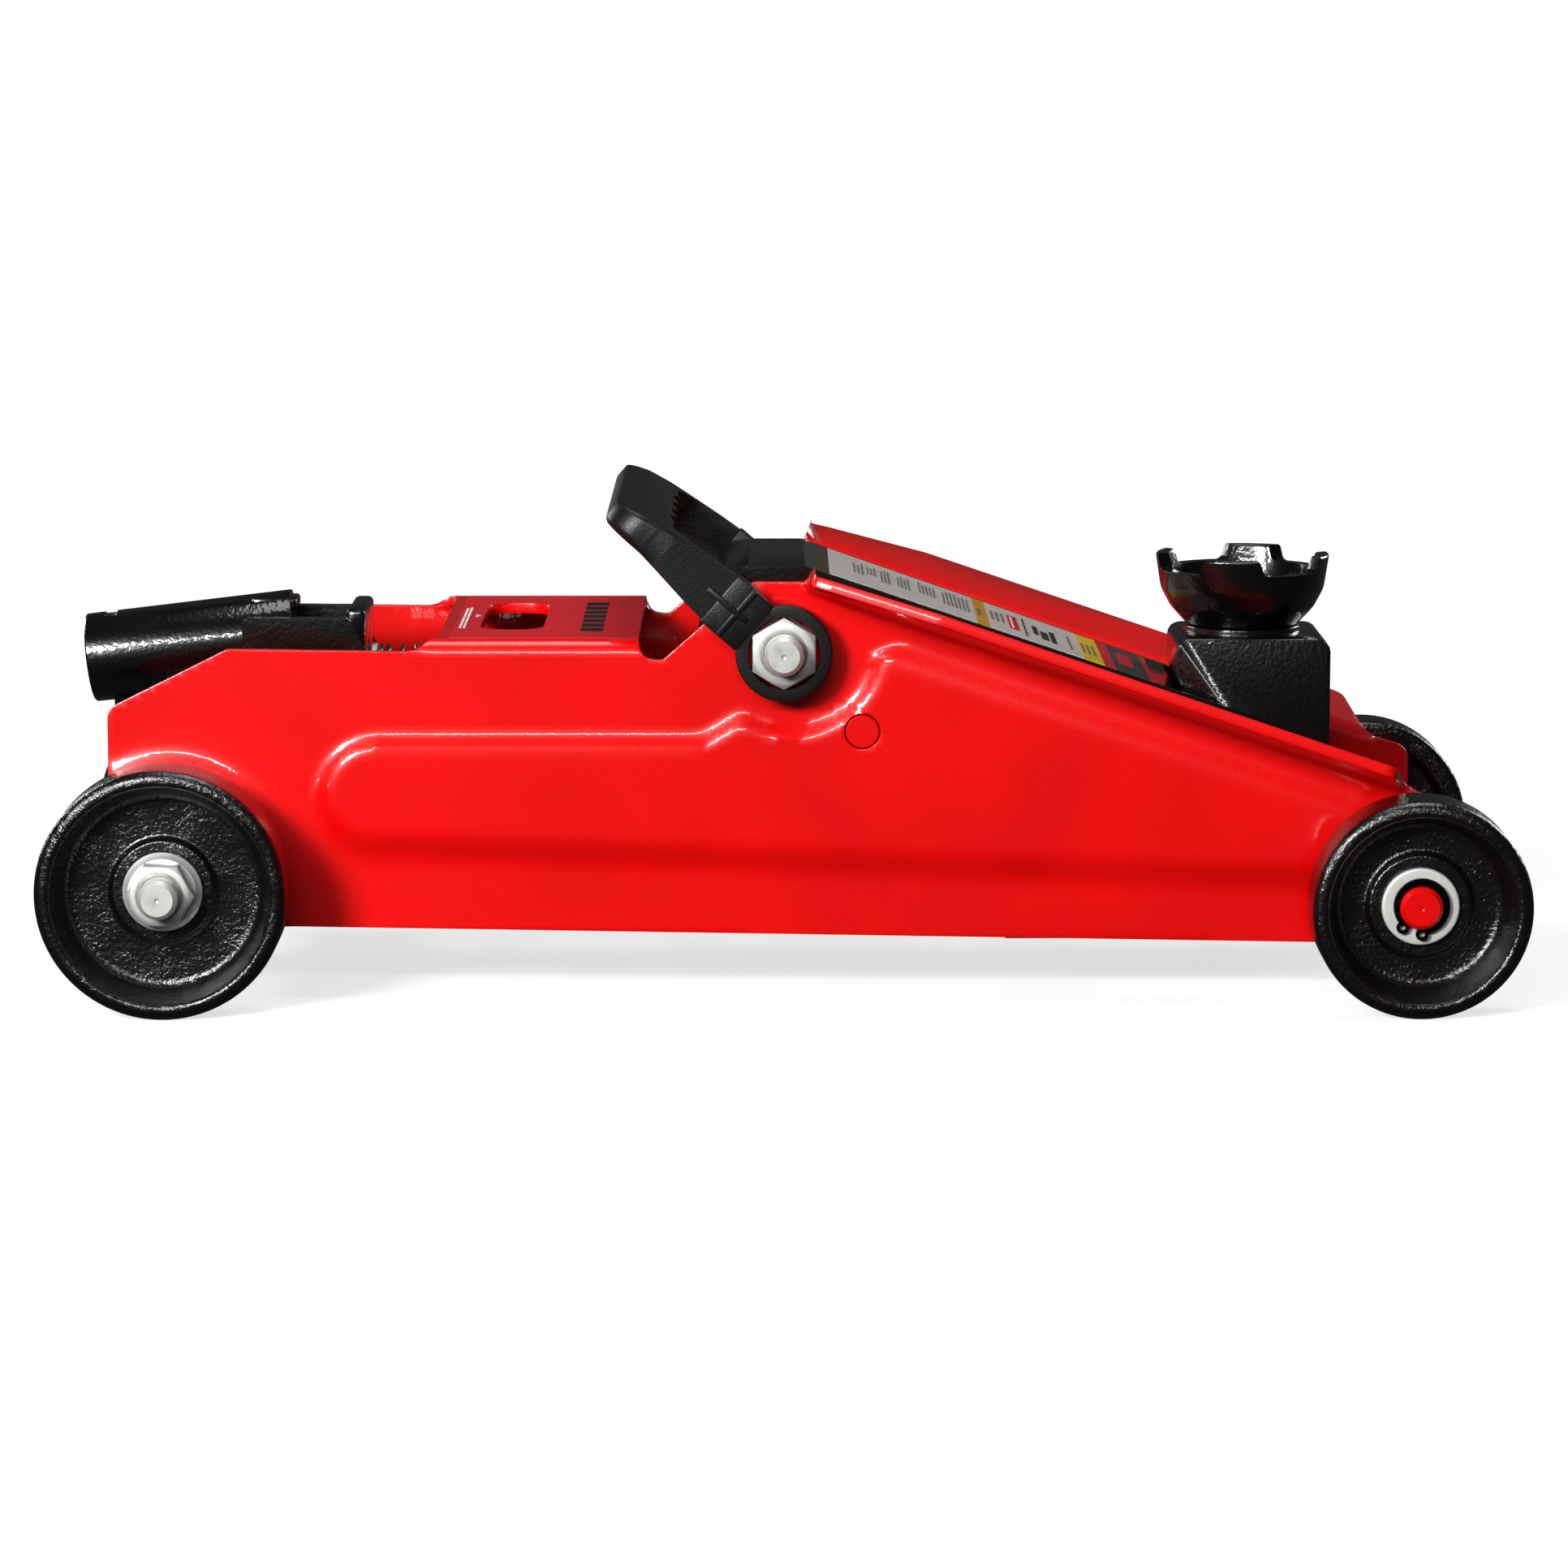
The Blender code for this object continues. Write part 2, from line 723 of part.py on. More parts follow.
def make_power_unit():
    unit = block("power_unit", (-0.150, -UNIT_HALF, 0.0280), (-0.112, UNIT_HALF, 0.0680), bevel=0.002)
    foot_outline = rounded(
        [
            (-0.196, 0.0260, 0.006),
            (-0.196, 0.0500, 0.008),
            (-0.145, 0.0500, 0),
            (-0.145, 0.0285, 0),
        ]
    )
    foot = prism("foot_blank", foot_outline, -0.020, 0.020)
    lug_outline = rounded(
        [
            (-0.1440, 0.0600, 0),
            (-0.1440, 0.0930, 0.008),
            (-0.1240, 0.0930, 0.008),
            (-0.1240, 0.0600, 0),
        ]
    )
    lugs = []
    for word, side in SIDES.items():
        low, high = across(side, 0.0200, UNIT_HALF - GAP)
        lugs.append(prism(f"socket_lug_blank_{word}", lug_outline, low, high))
    ears = block("spring_ear_blank", (-0.1140, -0.0310, 0.0600), (-0.1075, 0.0310, 0.0732), bevel=0.001)
    middle = (0, 0, RAM_Z)
    cylinder = rod("cylinder_blank", CYLINDER_REAR_X, CYLINDER_FRONT_X, CYLINDER_RADIUS, middle, axis="X")
    barrel = rod("barrel_blank", PUMP_FACE_X, -0.0628, 0.0108, (0, 0, PUMP_Z), axis="X", chamfer=0.001)
    join(unit, foot, *lugs, ears, cylinder, barrel)
    cut(
        unit,
        rod("pump_bore_cutter", -0.1000, -0.0655, 0.006 + GAP, (0, 0, PUMP_Z), axis="X", segments=COARSE),
        bore("unit_axle_cutter", REAR_AXLE, AXLE_RADIUS + GAP, segments=COARSE),
        bore("unit_socket_cutter", SOCKET_PIN, 0.0045 + GAP, segments=COARSE),
        rod("release_bore_cutter", -0.16, -0.139, 0.0045 + GAP, (0, 0, RELEASE_Z), "X", segments=COARSE),
        rod("filler_bore_cutter", 0.062, 0.075, 0.0035 + GAP, (FILLER_X, 0, 0), axis="Z", segments=COARSE),
        rod("valve_bore_cutter", -0.03, -0.0215, 0.0045 + GAP, VALVE_PLACE, segments=COARSE),
        *screw_bores("unit_screw_bore", 0.0340),
        rod("ram_bore_cutter", -0.1190, 0.0, RAM_RADIUS + GAP, middle, axis="X"),
    )


make_power_unit()
cut(base_plate, *screw_bores("plate_screw_bore", 0.030))
for word, side in SIDES.items():
    place = (BASE_SCREW_X, side * BASE_SCREW_Y)
    screw = rod(f"base_screw_{word}", 0.0200, 0.0330, 0.004, (*place, 0), axis="Z", segments=COARSE)
    head = extruded(hexagon(place, 0.013), 0.0182, 0.0232)
    bmesh.ops.transform(head, matrix=FLAT, verts=head.verts)
    join(screw, keep(f"base_screw_head_{word}", head, ZINC))

gland = (CYLINDER_FRONT_X + GAP, -0.0530)
ring("gland_nut", *gland, RAM_RADIUS + GAP, 0.0180, (0, 0, RAM_Z), axis="X")
rod("ram", -0.1180, -0.0493, RAM_RADIUS, (0, 0, RAM_Z), axis="X", material=CHROME, chamfer=0.0008)
filler_middle = (FILLER_X, 0, 0)
filler = rod("filler_plug", 0.0630, 0.0700, 0.0035, filler_middle, "Z", RUBBER, segments=COARSE)
join(filler, rod("filler_cap_blank", 0.0683, 0.0722, 0.0060, filler_middle, "Z", segments=COARSE))
valve = rod("overload_valve", -0.0290, -0.0220, 0.0045, VALVE_PLACE, segments=COARSE)
join(valve, rod("valve_head_blank", -0.0310, -0.0273, 0.0070, VALVE_PLACE, segments=COARSE))
hexagon_key = prism("valve_key_cutter", hexagon((VALVE_PLACE[0], VALVE_PLACE[2]), 0.005), -0.0330, -0.0285)
cut(valve, hexagon_key)


def make_ram_head():
    """A fork on the end of the ram. The lever pin works in two tall slots, with room all round."""
    head = block("ram_head", (-0.0490, -0.0310, 0.0580), (-0.0435, 0.0310, 0.0750), STEEL, bevel=0.001)
    fork = rounded(
        [
            (-0.0489, 0.052, 0.002),
            (-0.0489, 0.090, 0.002),
            (-0.0110, 0.090, 0.006),
            (-0.0110, 0.052, 0.006),
        ]
    )
    join(head, prism("ram_head_blank", fork, -0.0175, 0.0175, STEEL))
    slot_half = LEVER_PIN_RADIUS + 0.0015
    slot = [
        (LEVER_PIN[0] - slot_half, 0.0572, 0.007),
        (LEVER_PIN[0] - slot_half, 0.0845, 0.007),
        (LEVER_PIN[0] + slot_half, 0.0845, 0.007),
        (LEVER_PIN[0] + slot_half, 0.0572, 0.007),
    ]
    cut(
        head,
        block("ram_head_gap", (-0.0400, -0.0100, 0.030), (0.010, 0.0100, 0.100)),
        prism("ram_slot_cutter", rounded(slot), -0.05, 0.05),
    )


make_ram_head()


# Springs


def coil(name, start_x, end_x, y, z, mean_radius, wire, turns, per_turn):
    """A spring along X: a tube that follows a helix, its wire ends closed."""
    curve = bpy.data.curves.new(name, "CURVE")
    curve.dimensions = "3D"
    curve.bevel_depth = wire / 2
    curve.bevel_resolution = 1
    curve.use_fill_caps = True
    curve.materials.append(STEEL)
    spline = curve.splines.new("POLY")
    count = turns * per_turn + 1
    spline.points.add(count - 1)
    first, last = start_x + wire / 2, end_x - wire / 2
    for index in range(count):
        angle = math.tau * index / per_turn
        share = index / (count - 1)
        x = first + (last - first) * share
        across_wire = mean_radius * math.cos(angle)
        up_wire = mean_radius * math.sin(angle)
        spline.points[index].co = (x, y + across_wire, z + up_wire, 1)
    obj = bpy.data.objects.new(name, curve)
    bpy.context.scene.collection.objects.link(obj)
    return obj


coil("pump_spring", -0.1254, PUMP_FACE_X - GAP, 0, PUMP_Z, 0.0077, 0.0014, 12, 10)
for word, side in SIDES.items():
    coil(f"return_spring_{word}", -0.1072, -0.0493, side * 0.0255, RAM_Z, 0.0036, 0.0012, 14, 8)


# Pump: the plunger, its cap, and the handle socket that pushes it

rod(
    "pump_plunger",
    -0.1253,
    -0.0840,
    0.006,
    (0, 0, PUMP_Z),
    axis="X",
    material=CHROME,
    chamfer=0.0006,
    segments=COARSE,
)
rod("pump_cap", -0.1276, -0.1257, 0.0085, (0, 0, PUMP_Z), axis="X", chamfer=0.0004, segments=COARSE)
rod("socket_pin", -0.0275, 0.0275, 0.0045, at(SOCKET_PIN), chamfer=0.0008, segments=COARSE)

TUBE_START = (-0.2145, 0.0965)
TUBE_RISE = math.radians(6.3)
TUBE_LENGTH = 0.0640
TUBE_BORE = 0.0116


def along_tube(bm):
    """Lay a shape that was made along X from the origin on the socket's own axis."""
    place = Matrix.Translation(at(TUBE_START)) @ Matrix.Rotation(-TUBE_RISE, 4, "Y")
    bmesh.ops.transform(bm, matrix=place, verts=bm.verts)


def tube_piece(name, profile, material=BLACK):
    bm = bmesh.new()
    points = [bm.verts.new((radius, 0, along)) for along, radius in profile]
    edges = [bm.edges.new(pair) for pair in zip(points, points[1:])]
    spin(bm, points + edges, FINE)
    bmesh.ops.transform(bm, matrix=AXES["X"], verts=bm.verts)
    along_tube(bm)
    return keep(name, bm, material)


def make_socket():
    pivot = at(SOCKET_PIN)
    socket = tube_piece(
        "handle_socket",
        [(0, 0), (0, 0.0132), (0.0005, 0.0137), (TUBE_LENGTH, 0.0143), (TUBE_LENGTH, 0)],
    )
    socket.data.transform(Matrix.Translation(-Vector(pivot)))
    socket.location = pivot
    cheek = rounded(
        [
            (-0.1660, 0.0860, 0.002),
            (-0.1660, 0.1110, 0.002),
            (-0.1330, 0.1110, 0.003),
            (-0.1240, 0.0930, 0.006),
            (-0.1240, 0.0745, 0.009),
            (-0.1440, 0.0745, 0.009),
        ]
    )
    gusset = rounded(
        [
            (-0.2070, 0.0770, 0.003),
            (-0.2070, 0.0900, 0),
            (-0.1600, 0.0950, 0),
            (-0.1600, 0.0830, 0.004),
        ]
    )
    join(
        socket,
        block("ear_blank", (-0.1340, -0.0184, 0.0893), (-0.1281, 0.0184, 0.1137), bevel=0.0015),
        block("floor_blank", (-0.1655, -0.0160, 0.0905), (-0.1320, 0.0160, 0.0945)),
        prism("near_cheek_blank", cheek, -0.0185, -0.0145),
        prism("far_cheek_blank", cheek, 0.0145, 0.0185),
        prism("gusset_blank", gusset, -0.005, 0.005),
        block("strap_blank", (-0.1640, -0.0070, 0.1120), (-0.1500, 0.0070, 0.1158), bevel=0.001),
    )
    rim_slot = bmesh.new()
    slot_size = Matrix.Diagonal((0.004, 0.010, 0.006, 1))
    slot_place = Matrix.Translation((0.0080, 0, 0.0135))
    bmesh.ops.create_cube(rim_slot, size=1, matrix=slot_place @ slot_size)
    along_tube(rim_slot)
    hollow = [(-0.005, 0), (-0.005, TUBE_BORE), (0.058, TUBE_BORE), (0.058, 0)]
    cut(
        socket,
        tube_piece("socket_bore_cutter", hollow),
        keep("rim_slot_cutter", rim_slot, BLACK),
        bore("socket_pin_cutter", SOCKET_PIN, 0.0045 + GAP, segments=COARSE),
    )


make_socket()

release_middle = (0, 0, RELEASE_Z)
stem = rod(
    "release_valve",
    -0.1780,
    -0.1395,
    0.0045,
    release_middle,
    axis="X",
    segments=COARSE,
    pivot=(-0.1503, 0, RELEASE_Z),
)
join(
    stem,
    rod("release_collar_blank", -0.1560, -0.1506, 0.0075, release_middle, axis="X", segments=COARSE),
    block(
        "release_fork_blank",
        (-0.1880, -0.0060, RELEASE_Z - 0.0060),
        (-0.1760, 0.0060, RELEASE_Z + 0.0060),
        bevel=0.001,
    ),
)
cut(stem, block("release_fork_gap", (-0.2000, -0.0030, 0.040), (-0.1820, 0.0030, 0.080)))


# Carry handle: a moulded bail that swings on the ends of the main pivot

BAIL_DIRECTION = Vector((math.cos(BAIL_ANGLE), math.sin(BAIL_ANGLE)))
BAIL_SIDE = Vector((BAIL_DIRECTION.y, -BAIL_DIRECTION.x))


def on_bail(reach, aside):
    """A point of the handle, from its distance out along the arm and its offset to the front."""
    place = Vector(MAIN_PIVOT) + BAIL_DIRECTION * reach + BAIL_SIDE * aside
    return tuple(place)


def bail_outline(corners):
    return rounded([(*on_bail(reach, aside), radius) for reach, aside, radius in corners])


def make_carry_handle():
    pivot = at(MAIN_PIVOT)
    arm = bail_outline(
        [
            (0.0040, -0.0085, 0),
            (0.0040, 0.0085, 0),
            (0.0600, 0.0076, 0.004),
            (0.0600, -0.0078, 0.004),
        ]
    )
    grip = bail_outline(
        [
            (0.0520, -0.0082, 0.005),
            (0.0520, 0.0080, 0.005),
            (0.0680, 0.0080, 0.006),
            (0.0680, -0.0082, 0.006),
        ]
    )
    handle = prism("carry_handle", grip, -BAIL_Y[1], BAIL_Y[1], PLASTIC, pivot)
    for word, side in SIDES.items():
        low, high = across(side, *BAIL_Y)
        join(
            handle,
            prism(f"bail_arm_blank_{word}", arm, low + 0.0001, high - 0.0001, PLASTIC),
            prism(f"bail_ring_blank_{word}", circle_points(MAIN_PIVOT, 0.0145, 32), low, high, PLASTIC),
        )
    cut(handle, bore("bail_ring_cutter", MAIN_PIVOT, 0.0105, segments=32))


make_carry_handle()
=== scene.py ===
# %% [markdown]
# # A compact trolley jack
# The solids of the jack are already packed as a fixed frame: every bolt, wheel and lever stands where it
# belongs and moves on its own joint. This notebook gives them their finish. Where a plain solid has the
# right shape it only gets a better material. Where the real piece is pressed, cast or moulded, a finer
# piece is modelled in the same place and takes over from the solid.

# %% Load the frame
import math
import random

import bmesh
import bpy
import numpy as np
from mathutils import Matrix, Vector


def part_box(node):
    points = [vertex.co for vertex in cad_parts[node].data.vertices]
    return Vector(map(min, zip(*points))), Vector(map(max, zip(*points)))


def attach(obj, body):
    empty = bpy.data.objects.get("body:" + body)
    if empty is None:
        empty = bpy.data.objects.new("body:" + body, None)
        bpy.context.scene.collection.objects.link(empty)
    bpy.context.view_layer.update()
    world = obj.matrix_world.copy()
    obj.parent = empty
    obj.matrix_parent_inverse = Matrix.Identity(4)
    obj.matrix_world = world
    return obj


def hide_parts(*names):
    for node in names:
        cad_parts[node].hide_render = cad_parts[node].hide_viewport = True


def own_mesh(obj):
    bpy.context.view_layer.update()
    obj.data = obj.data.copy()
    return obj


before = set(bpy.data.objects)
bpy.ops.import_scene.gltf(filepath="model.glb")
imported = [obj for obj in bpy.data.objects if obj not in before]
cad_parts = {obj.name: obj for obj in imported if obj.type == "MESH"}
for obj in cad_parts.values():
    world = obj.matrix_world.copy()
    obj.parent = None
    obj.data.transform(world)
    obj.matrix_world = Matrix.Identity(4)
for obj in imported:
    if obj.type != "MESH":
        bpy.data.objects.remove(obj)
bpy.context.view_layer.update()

MM = 0.001

# %% [markdown]
# ## Helpers for outlines and solids
# Every piece of a jack is folded from sheet, turned, or cast with round corners. So three kinds of start
# are enough: an outline with a thickness, a spun profile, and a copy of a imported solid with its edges
# broken. An outline is given by its corners only, each with a radius, as a drawing would give it.

# %% Outline helpers


def rounded(corners, steps=6):
    """An outline from (a, b, radius) corners, each one turned into a short arc."""
    outline = []
    for index, (a, b, radius) in enumerate(corners):
        here = Vector((a, b))
        before = (Vector(corners[index - 1][:2]) - here).normalized()
        after = (Vector(corners[(index + 1) % len(corners)][:2]) - here).normalized()
        if radius == 0:
            outline.append(tuple(here))
            continue
        half = before.angle(after) / 2
        centre = here + (before + after).normalized() * radius / math.sin(half)
        start = here + before * radius / math.tan(half) - centre
        end = here + after * radius / math.tan(half) - centre
        turn = start.angle_signed(end)
        for step in range(steps + 1):
            outline.append(tuple(centre + Matrix.Rotation(-turn * step / steps, 2) @ start))
    return outline


def circle(centre, radius, steps=48):
    angles = [math.tau * i / steps for i in range(steps)]
    return [(centre[0] + radius * math.cos(a), centre[1] + radius * math.sin(a)) for a in angles]


def plate(outline, low, high):
    """A flat piece: the outline lies in (x, z) and its thickness runs along y."""
    bm = bmesh.new()
    face = bm.faces.new([bm.verts.new((a, low, b)) for a, b in outline])
    grown = bmesh.ops.extrude_face_region(bm, geom=[face], use_keep_orig=True)
    moved = [item for item in grown["geom"] if isinstance(item, bmesh.types.BMVert)]
    bmesh.ops.translate(bm, verts=moved, vec=(0, high - low, 0))
    bmesh.ops.recalc_face_normals(bm, faces=bm.faces)
    return bm


def brick(low, high):
    bm = bmesh.new()
    size = Vector(high) - Vector(low)
    place = Matrix.Translation((Vector(high) + Vector(low)) / 2) @ Matrix.Diagonal((*size, 1))
    bmesh.ops.create_cube(bm, size=1, matrix=place)
    return bm


TURN_TO = {
    "X": Matrix.Rotation(math.pi / 2, 4, "Y"),
    "Y": Matrix.Rotation(-math.pi / 2, 4, "X"),
    "Z": Matrix.Identity(4),
}


def lathe(profile, centre, axis="Y", steps=96, closed=False):
    """Spin (place along the axis, radius) points into a turned piece."""
    bm = bmesh.new()
    points = [bm.verts.new((radius, 0, along)) for along, radius in profile]
    pairs = list(zip(points, points[1:])) + ([(points[-1], points[0])] if closed else [])
    edges = [bm.edges.new(pair) for pair in pairs]
    bmesh.ops.spin(
        bm,
        geom=points + edges,
        cent=(0, 0, 0),
        axis=(0, 0, 1),
        angle=math.tau,
        steps=steps,
        use_merge=True,
    )
    bmesh.ops.remove_doubles(bm, verts=bm.verts, dist=0.001 * MM)
    bmesh.ops.transform(bm, matrix=Matrix.Translation(centre) @ TURN_TO[axis], verts=bm.verts)
    bmesh.ops.recalc_face_normals(bm, faces=bm.faces)
    return bm


def turned_on(side, centre, profile, steps=96, closed=False):
    """A turned piece whose axis runs across the jack, through a point of the side view."""
    mirrored = [(side * along, radius) for along, radius in profile]
    return lathe(mirrored, (centre.x, 0, centre.y), steps=steps, closed=closed)


def bevel_edges(bm, edges, width, segments):
    bmesh.ops.bevel(
        bm,
        geom=edges,
        offset=width,
        affect="EDGES",
        segments=segments,
        profile=0.5,
        material=-1,
        clamp_overlap=True,
    )
    return bm


def break_edges(bm, width, segments=2, angle=30):
    """Round every edge that is sharper than the angle, as deburring and paint do."""
    limit = math.radians(angle)
    sharp = [e for e in bm.edges if e.is_manifold and e.calc_face_angle(0) > limit]
    return bevel_edges(bm, sharp, width, segments)


print("outline, plate, brick, lathe and edge helpers are ready")

# %% [markdown]
# ## Turning a mesh into a piece of the jack
# A piece has to say three things: the body it moves with, its material and, if it takes over from
# a imported solid, which one. One function does all three, so no piece can miss one.

# %% Piece helpers


def piece(name, bm, material, body, stands_for=(), sharp=32):
    """Make the finished object, tie it to its body and hide the solids that it replaces."""
    mesh = bpy.data.meshes.new(name)
    bm.to_mesh(mesh)
    bm.free()
    mesh.materials.append(material)
    mesh.shade_smooth()
    mesh.set_sharp_from_angle(angle=math.radians(sharp))
    made = bpy.data.objects.new(name, mesh)
    bpy.context.scene.collection.objects.link(made)
    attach(made, body)
    if stands_for:
        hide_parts(*stands_for)
    return made


def united(*parts, operation="UNION"):
    """Join or cut closed meshes with the exact Boolean. The result is one closed mesh."""
    made = []
    for bm in parts:
        mesh = bpy.data.meshes.new("blank")
        bm.to_mesh(mesh)
        bm.free()
        made.append(bpy.data.objects.new("blank", mesh))
        bpy.context.scene.collection.objects.link(made[-1])
    for other in made[1:]:
        modifier = made[0].modifiers.new("boolean", "BOOLEAN")
        modifier.operation = operation
        modifier.solver = "EXACT"
        modifier.object = other
    graph = bpy.context.evaluated_depsgraph_get()
    result = bmesh.new()
    result.from_mesh(made[0].evaluated_get(graph).to_mesh())
    for obj in made:
        mesh = obj.data
        bpy.data.objects.remove(obj)
        bpy.data.meshes.remove(mesh)
    bmesh.ops.remove_doubles(result, verts=result.verts, dist=0.002 * MM)
    return result


def copy_of(node):
    """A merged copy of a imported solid, with its flat faces made whole again."""
    bm = bmesh.new()
    bm.from_mesh(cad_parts[node].data)
    bmesh.ops.remove_doubles(bm, verts=bm.verts, dist=0.01 * MM)
    bmesh.ops.dissolve_limit(bm, angle_limit=math.radians(1), verts=bm.verts, edges=bm.edges)
    return bm


def shift(bm, matrix):
    bmesh.ops.transform(bm, matrix=matrix, verts=bm.verts)
    return bm


SIDES = {"near": -1, "far": 1}
print("sides:", SIDES)

# %% [markdown]
# ## Colours and nodes
# Colours are given as the hex values that a paint chart would show, so one function turns them to the
# linear values that a shader works with. One more function adds a node: it takes the node's settings
# and, for each socket, either a value or another node's output to link.

# %% Material helpers


def colour(code):
    channels = [int(code[i : i + 2], 16) / 255 for i in (0, 2, 4)]
    linear = [c / 12.92 if c <= 0.04045 else ((c + 0.055) / 1.055) ** 2.4 for c in channels]
    return (*linear, 1.0)


def add(tree, kind, sockets=None, **settings):
    made = tree.nodes.new("ShaderNode" + kind)
    for key, value in settings.items():
        setattr(made, key, value)
    for key, value in (sockets or {}).items():
        if isinstance(value, bpy.types.NodeSocket):
            tree.links.new(value, made.inputs[key])
        else:
            made.inputs[key].default_value = value
    return made


def new_material(name, **values):
    """A material with its Principled shader's own sockets set, and its Object coordinates."""
    material = bpy.data.materials.new(name)
    material.use_nodes = True
    tree = material.node_tree
    shader = tree.nodes["Principled BSDF"]
    for key, value in values.items():
        shader.inputs[key.replace("_", " ")].default_value = value
    place = add(tree, "TexCoord").outputs["Object"]
    return material, tree, shader, place


def grain(tree, place, size, detail=2.0, roughness=0.5):
    """Noise whose blobs are about as wide as the size, in metres."""
    sockets = {"Vector": place, "Scale": 1 / size, "Detail": detail, "Roughness": roughness}
    return add(tree, "TexNoise", sockets).outputs["Fac"]


def relief(tree, shader, height, depth, strength=1.0, socket="Normal", under=None):
    sockets = {"Height": height, "Distance": depth, "Strength": strength}
    if under is not None:
        sockets["Normal"] = under
    bump = add(tree, "Bump", sockets)
    tree.links.new(bump.outputs["Normal"], shader.inputs[socket])
    return bump.outputs["Normal"]


def blend_colours(tree, shader, share, first, second):
    sockets = {0: share, 6: first, 7: second}
    mixed = add(tree, "Mix", sockets, data_type="RGBA")
    tree.links.new(mixed.outputs[2], shader.inputs["Base Color"])
    return mixed.outputs[2]


def span(tree, value, low, high, to_low, to_high):
    sockets = {0: value, 1: low, 2: high, 3: to_low, 4: to_high}
    return add(tree, "MapRange", sockets).outputs[0]


print("the material helpers are ready")

# %% [markdown]
# ## Enamel
# The pressed frame is sprayed with a saturated red enamel and the arm, the hydraulic unit and the saddle
# with a black one. Sprayed enamel is a glossy coat over its own colour. It dries with orange peel: soft
# dimples 1 to 2 mm wide and a few hundredths of a millimetre deep, which make highlights tremble. The
# colour is mixed with a slightly darker one over a few centimetres, because no sprayed coat is even.

# %% Red and black enamel


def make_enamel(name, main, shade, roughness, peel_depth, peel_size):
    material, tree, shader, place = new_material(
        name,
        Roughness=roughness,
        IOR=1.5,
        Specular_IOR_Level=0.3,
        Coat_Weight=0.8,
        Coat_Roughness=0.06,
    )
    patches = span(tree, grain(tree, place, 45 * MM), 0.35, 0.65, 0.0, 1.0)
    blend_colours(tree, shader, patches, colour(main), colour(shade))
    peel = grain(tree, place, peel_size, detail=1.0)
    relief(tree, shader, peel, peel_depth)
    relief(tree, shader, peel, peel_depth, socket="Coat Normal")
    return material


RED = make_enamel("red_enamel", "E60202", "D80101", 0.34, 0.035 * MM, 1.6 * MM)
BLACK = make_enamel("black_enamel", "050505", "020202", 0.26, 0.10 * MM, 1.4 * MM)
print(RED.name, BLACK.name)

# %% [markdown]
# ## Painted castings
# The wheels are sand castings. The sand leaves a skin of grains about a millimetre across, and the thick
# black paint on it makes every grain a small mirror, so the dish sparkles where light meets it. A
# second, larger noise breaks the skin into rougher and smoother patches.

# %% Painted cast iron


def make_casting():
    material, tree, shader, place = new_material(
        "painted_cast_iron",
        Base_Color=colour("080504"),
        Roughness=0.26,
        IOR=1.5,
        Coat_Weight=0.6,
        Coat_Roughness=0.08,
    )
    sand = grain(tree, place, 1.3 * MM, detail=3.0, roughness=0.6)
    patches = grain(tree, place, 9 * MM)
    height = add(tree, "Math", {0: sand, 1: patches}, operation="MULTIPLY").outputs[0]
    normal = relief(tree, shader, height, 0.70 * MM)
    tree.links.new(normal, shader.inputs["Coat Normal"])
    return material


CASTING = make_casting()
print(CASTING.name)

# %% [markdown]
# ## Plated and bare metals
# Nuts, washers and pins are zinc plated: a pale, slightly bluish metal whose crystals scatter light, so
# it is never a mirror. The ram is hard chrome, ground and polished. The springs are bright drawn wire.
# All are metals, so only the colour, the roughness and the fine relief tell them apart.

# %% Metals


def make_metal(name, tone, dark, roughness, grain_size, depth, metallic=1.0):
    material, tree, shader, place = new_material(name, Metallic=metallic)
    patches = grain(tree, place, 5 * MM, detail=3.0)
    blend_colours(tree, shader, span(tree, patches, 0.35, 0.65, 0, 1), colour(tone), colour(dark))
    rough = span(tree, patches, 0.3, 0.7, roughness * 0.8, roughness * 1.25)
    tree.links.new(rough, shader.inputs["Roughness"])
    relief(tree, shader, grain(tree, place, grain_size, detail=2.0), depth)
    return material


ZINC = make_metal("zinc_plating", "E2E3DF", "CDD0CC", 0.46, 0.5 * MM, 0.012 * MM, 0.72)
WASHER_ZINC = make_metal("zinc_plated_washer", "E9E9E6", "DADAD6", 0.50, 0.5 * MM, 0.01 * MM, 0.5)
STEEL = make_metal("machined_steel", "A9A8A4", "8F8E8A", 0.30, 0.4 * MM, 0.010 * MM)
WIRE = make_metal("spring_wire", "B9B9B5", "8C8C88", 0.24, 0.4 * MM, 0.006 * MM)
CHROME = make_metal("hard_chrome", "E2E4E6", "D6D8DA", 0.08, 2.0 * MM, 0.002 * MM)
CLIP = make_metal("blackened_spring_steel", "1A1A1A", "101010", 0.38, 0.6 * MM, 0.01 * MM)
print([m.name for m in (ZINC, WASHER_ZINC, STEEL, WIRE, CHROME, CLIP)])

# %% [markdown]
# ## Moulded plastic and rubber
# The carry handle is injection moulded polypropylene. Its mould was spark eroded, which gives a fine
# pebble grain about half a millimetre across and a dull, slightly brownish black.

# %% Plastic


def make_moulding(name, tone, roughness, pebble, depth):
    material, tree, shader, place = new_material(
        name, Roughness=roughness, IOR=1.49, Specular_IOR_Level=0.35
    )
    pebbles = add(tree, "TexVoronoi", {"Vector": place, "Scale": 1 / pebble}).outputs["Distance"]
    soft = grain(tree, place, 12 * MM)
    blend_colours(tree, shader, span(tree, soft, 0.3, 0.7, 0, 1), colour(tone), colour("0C0B0A"))
    relief(tree, shader, pebbles, depth, strength=0.6)
    return material


PLASTIC = make_moulding("moulded_polypropylene", "151210", 0.40, 0.7 * MM, 0.07 * MM)
RUBBER = make_moulding("moulded_rubber", "0B0B0B", 0.75, 0.9 * MM, 0.02 * MM)
print(PLASTIC.name, RUBBER.name)

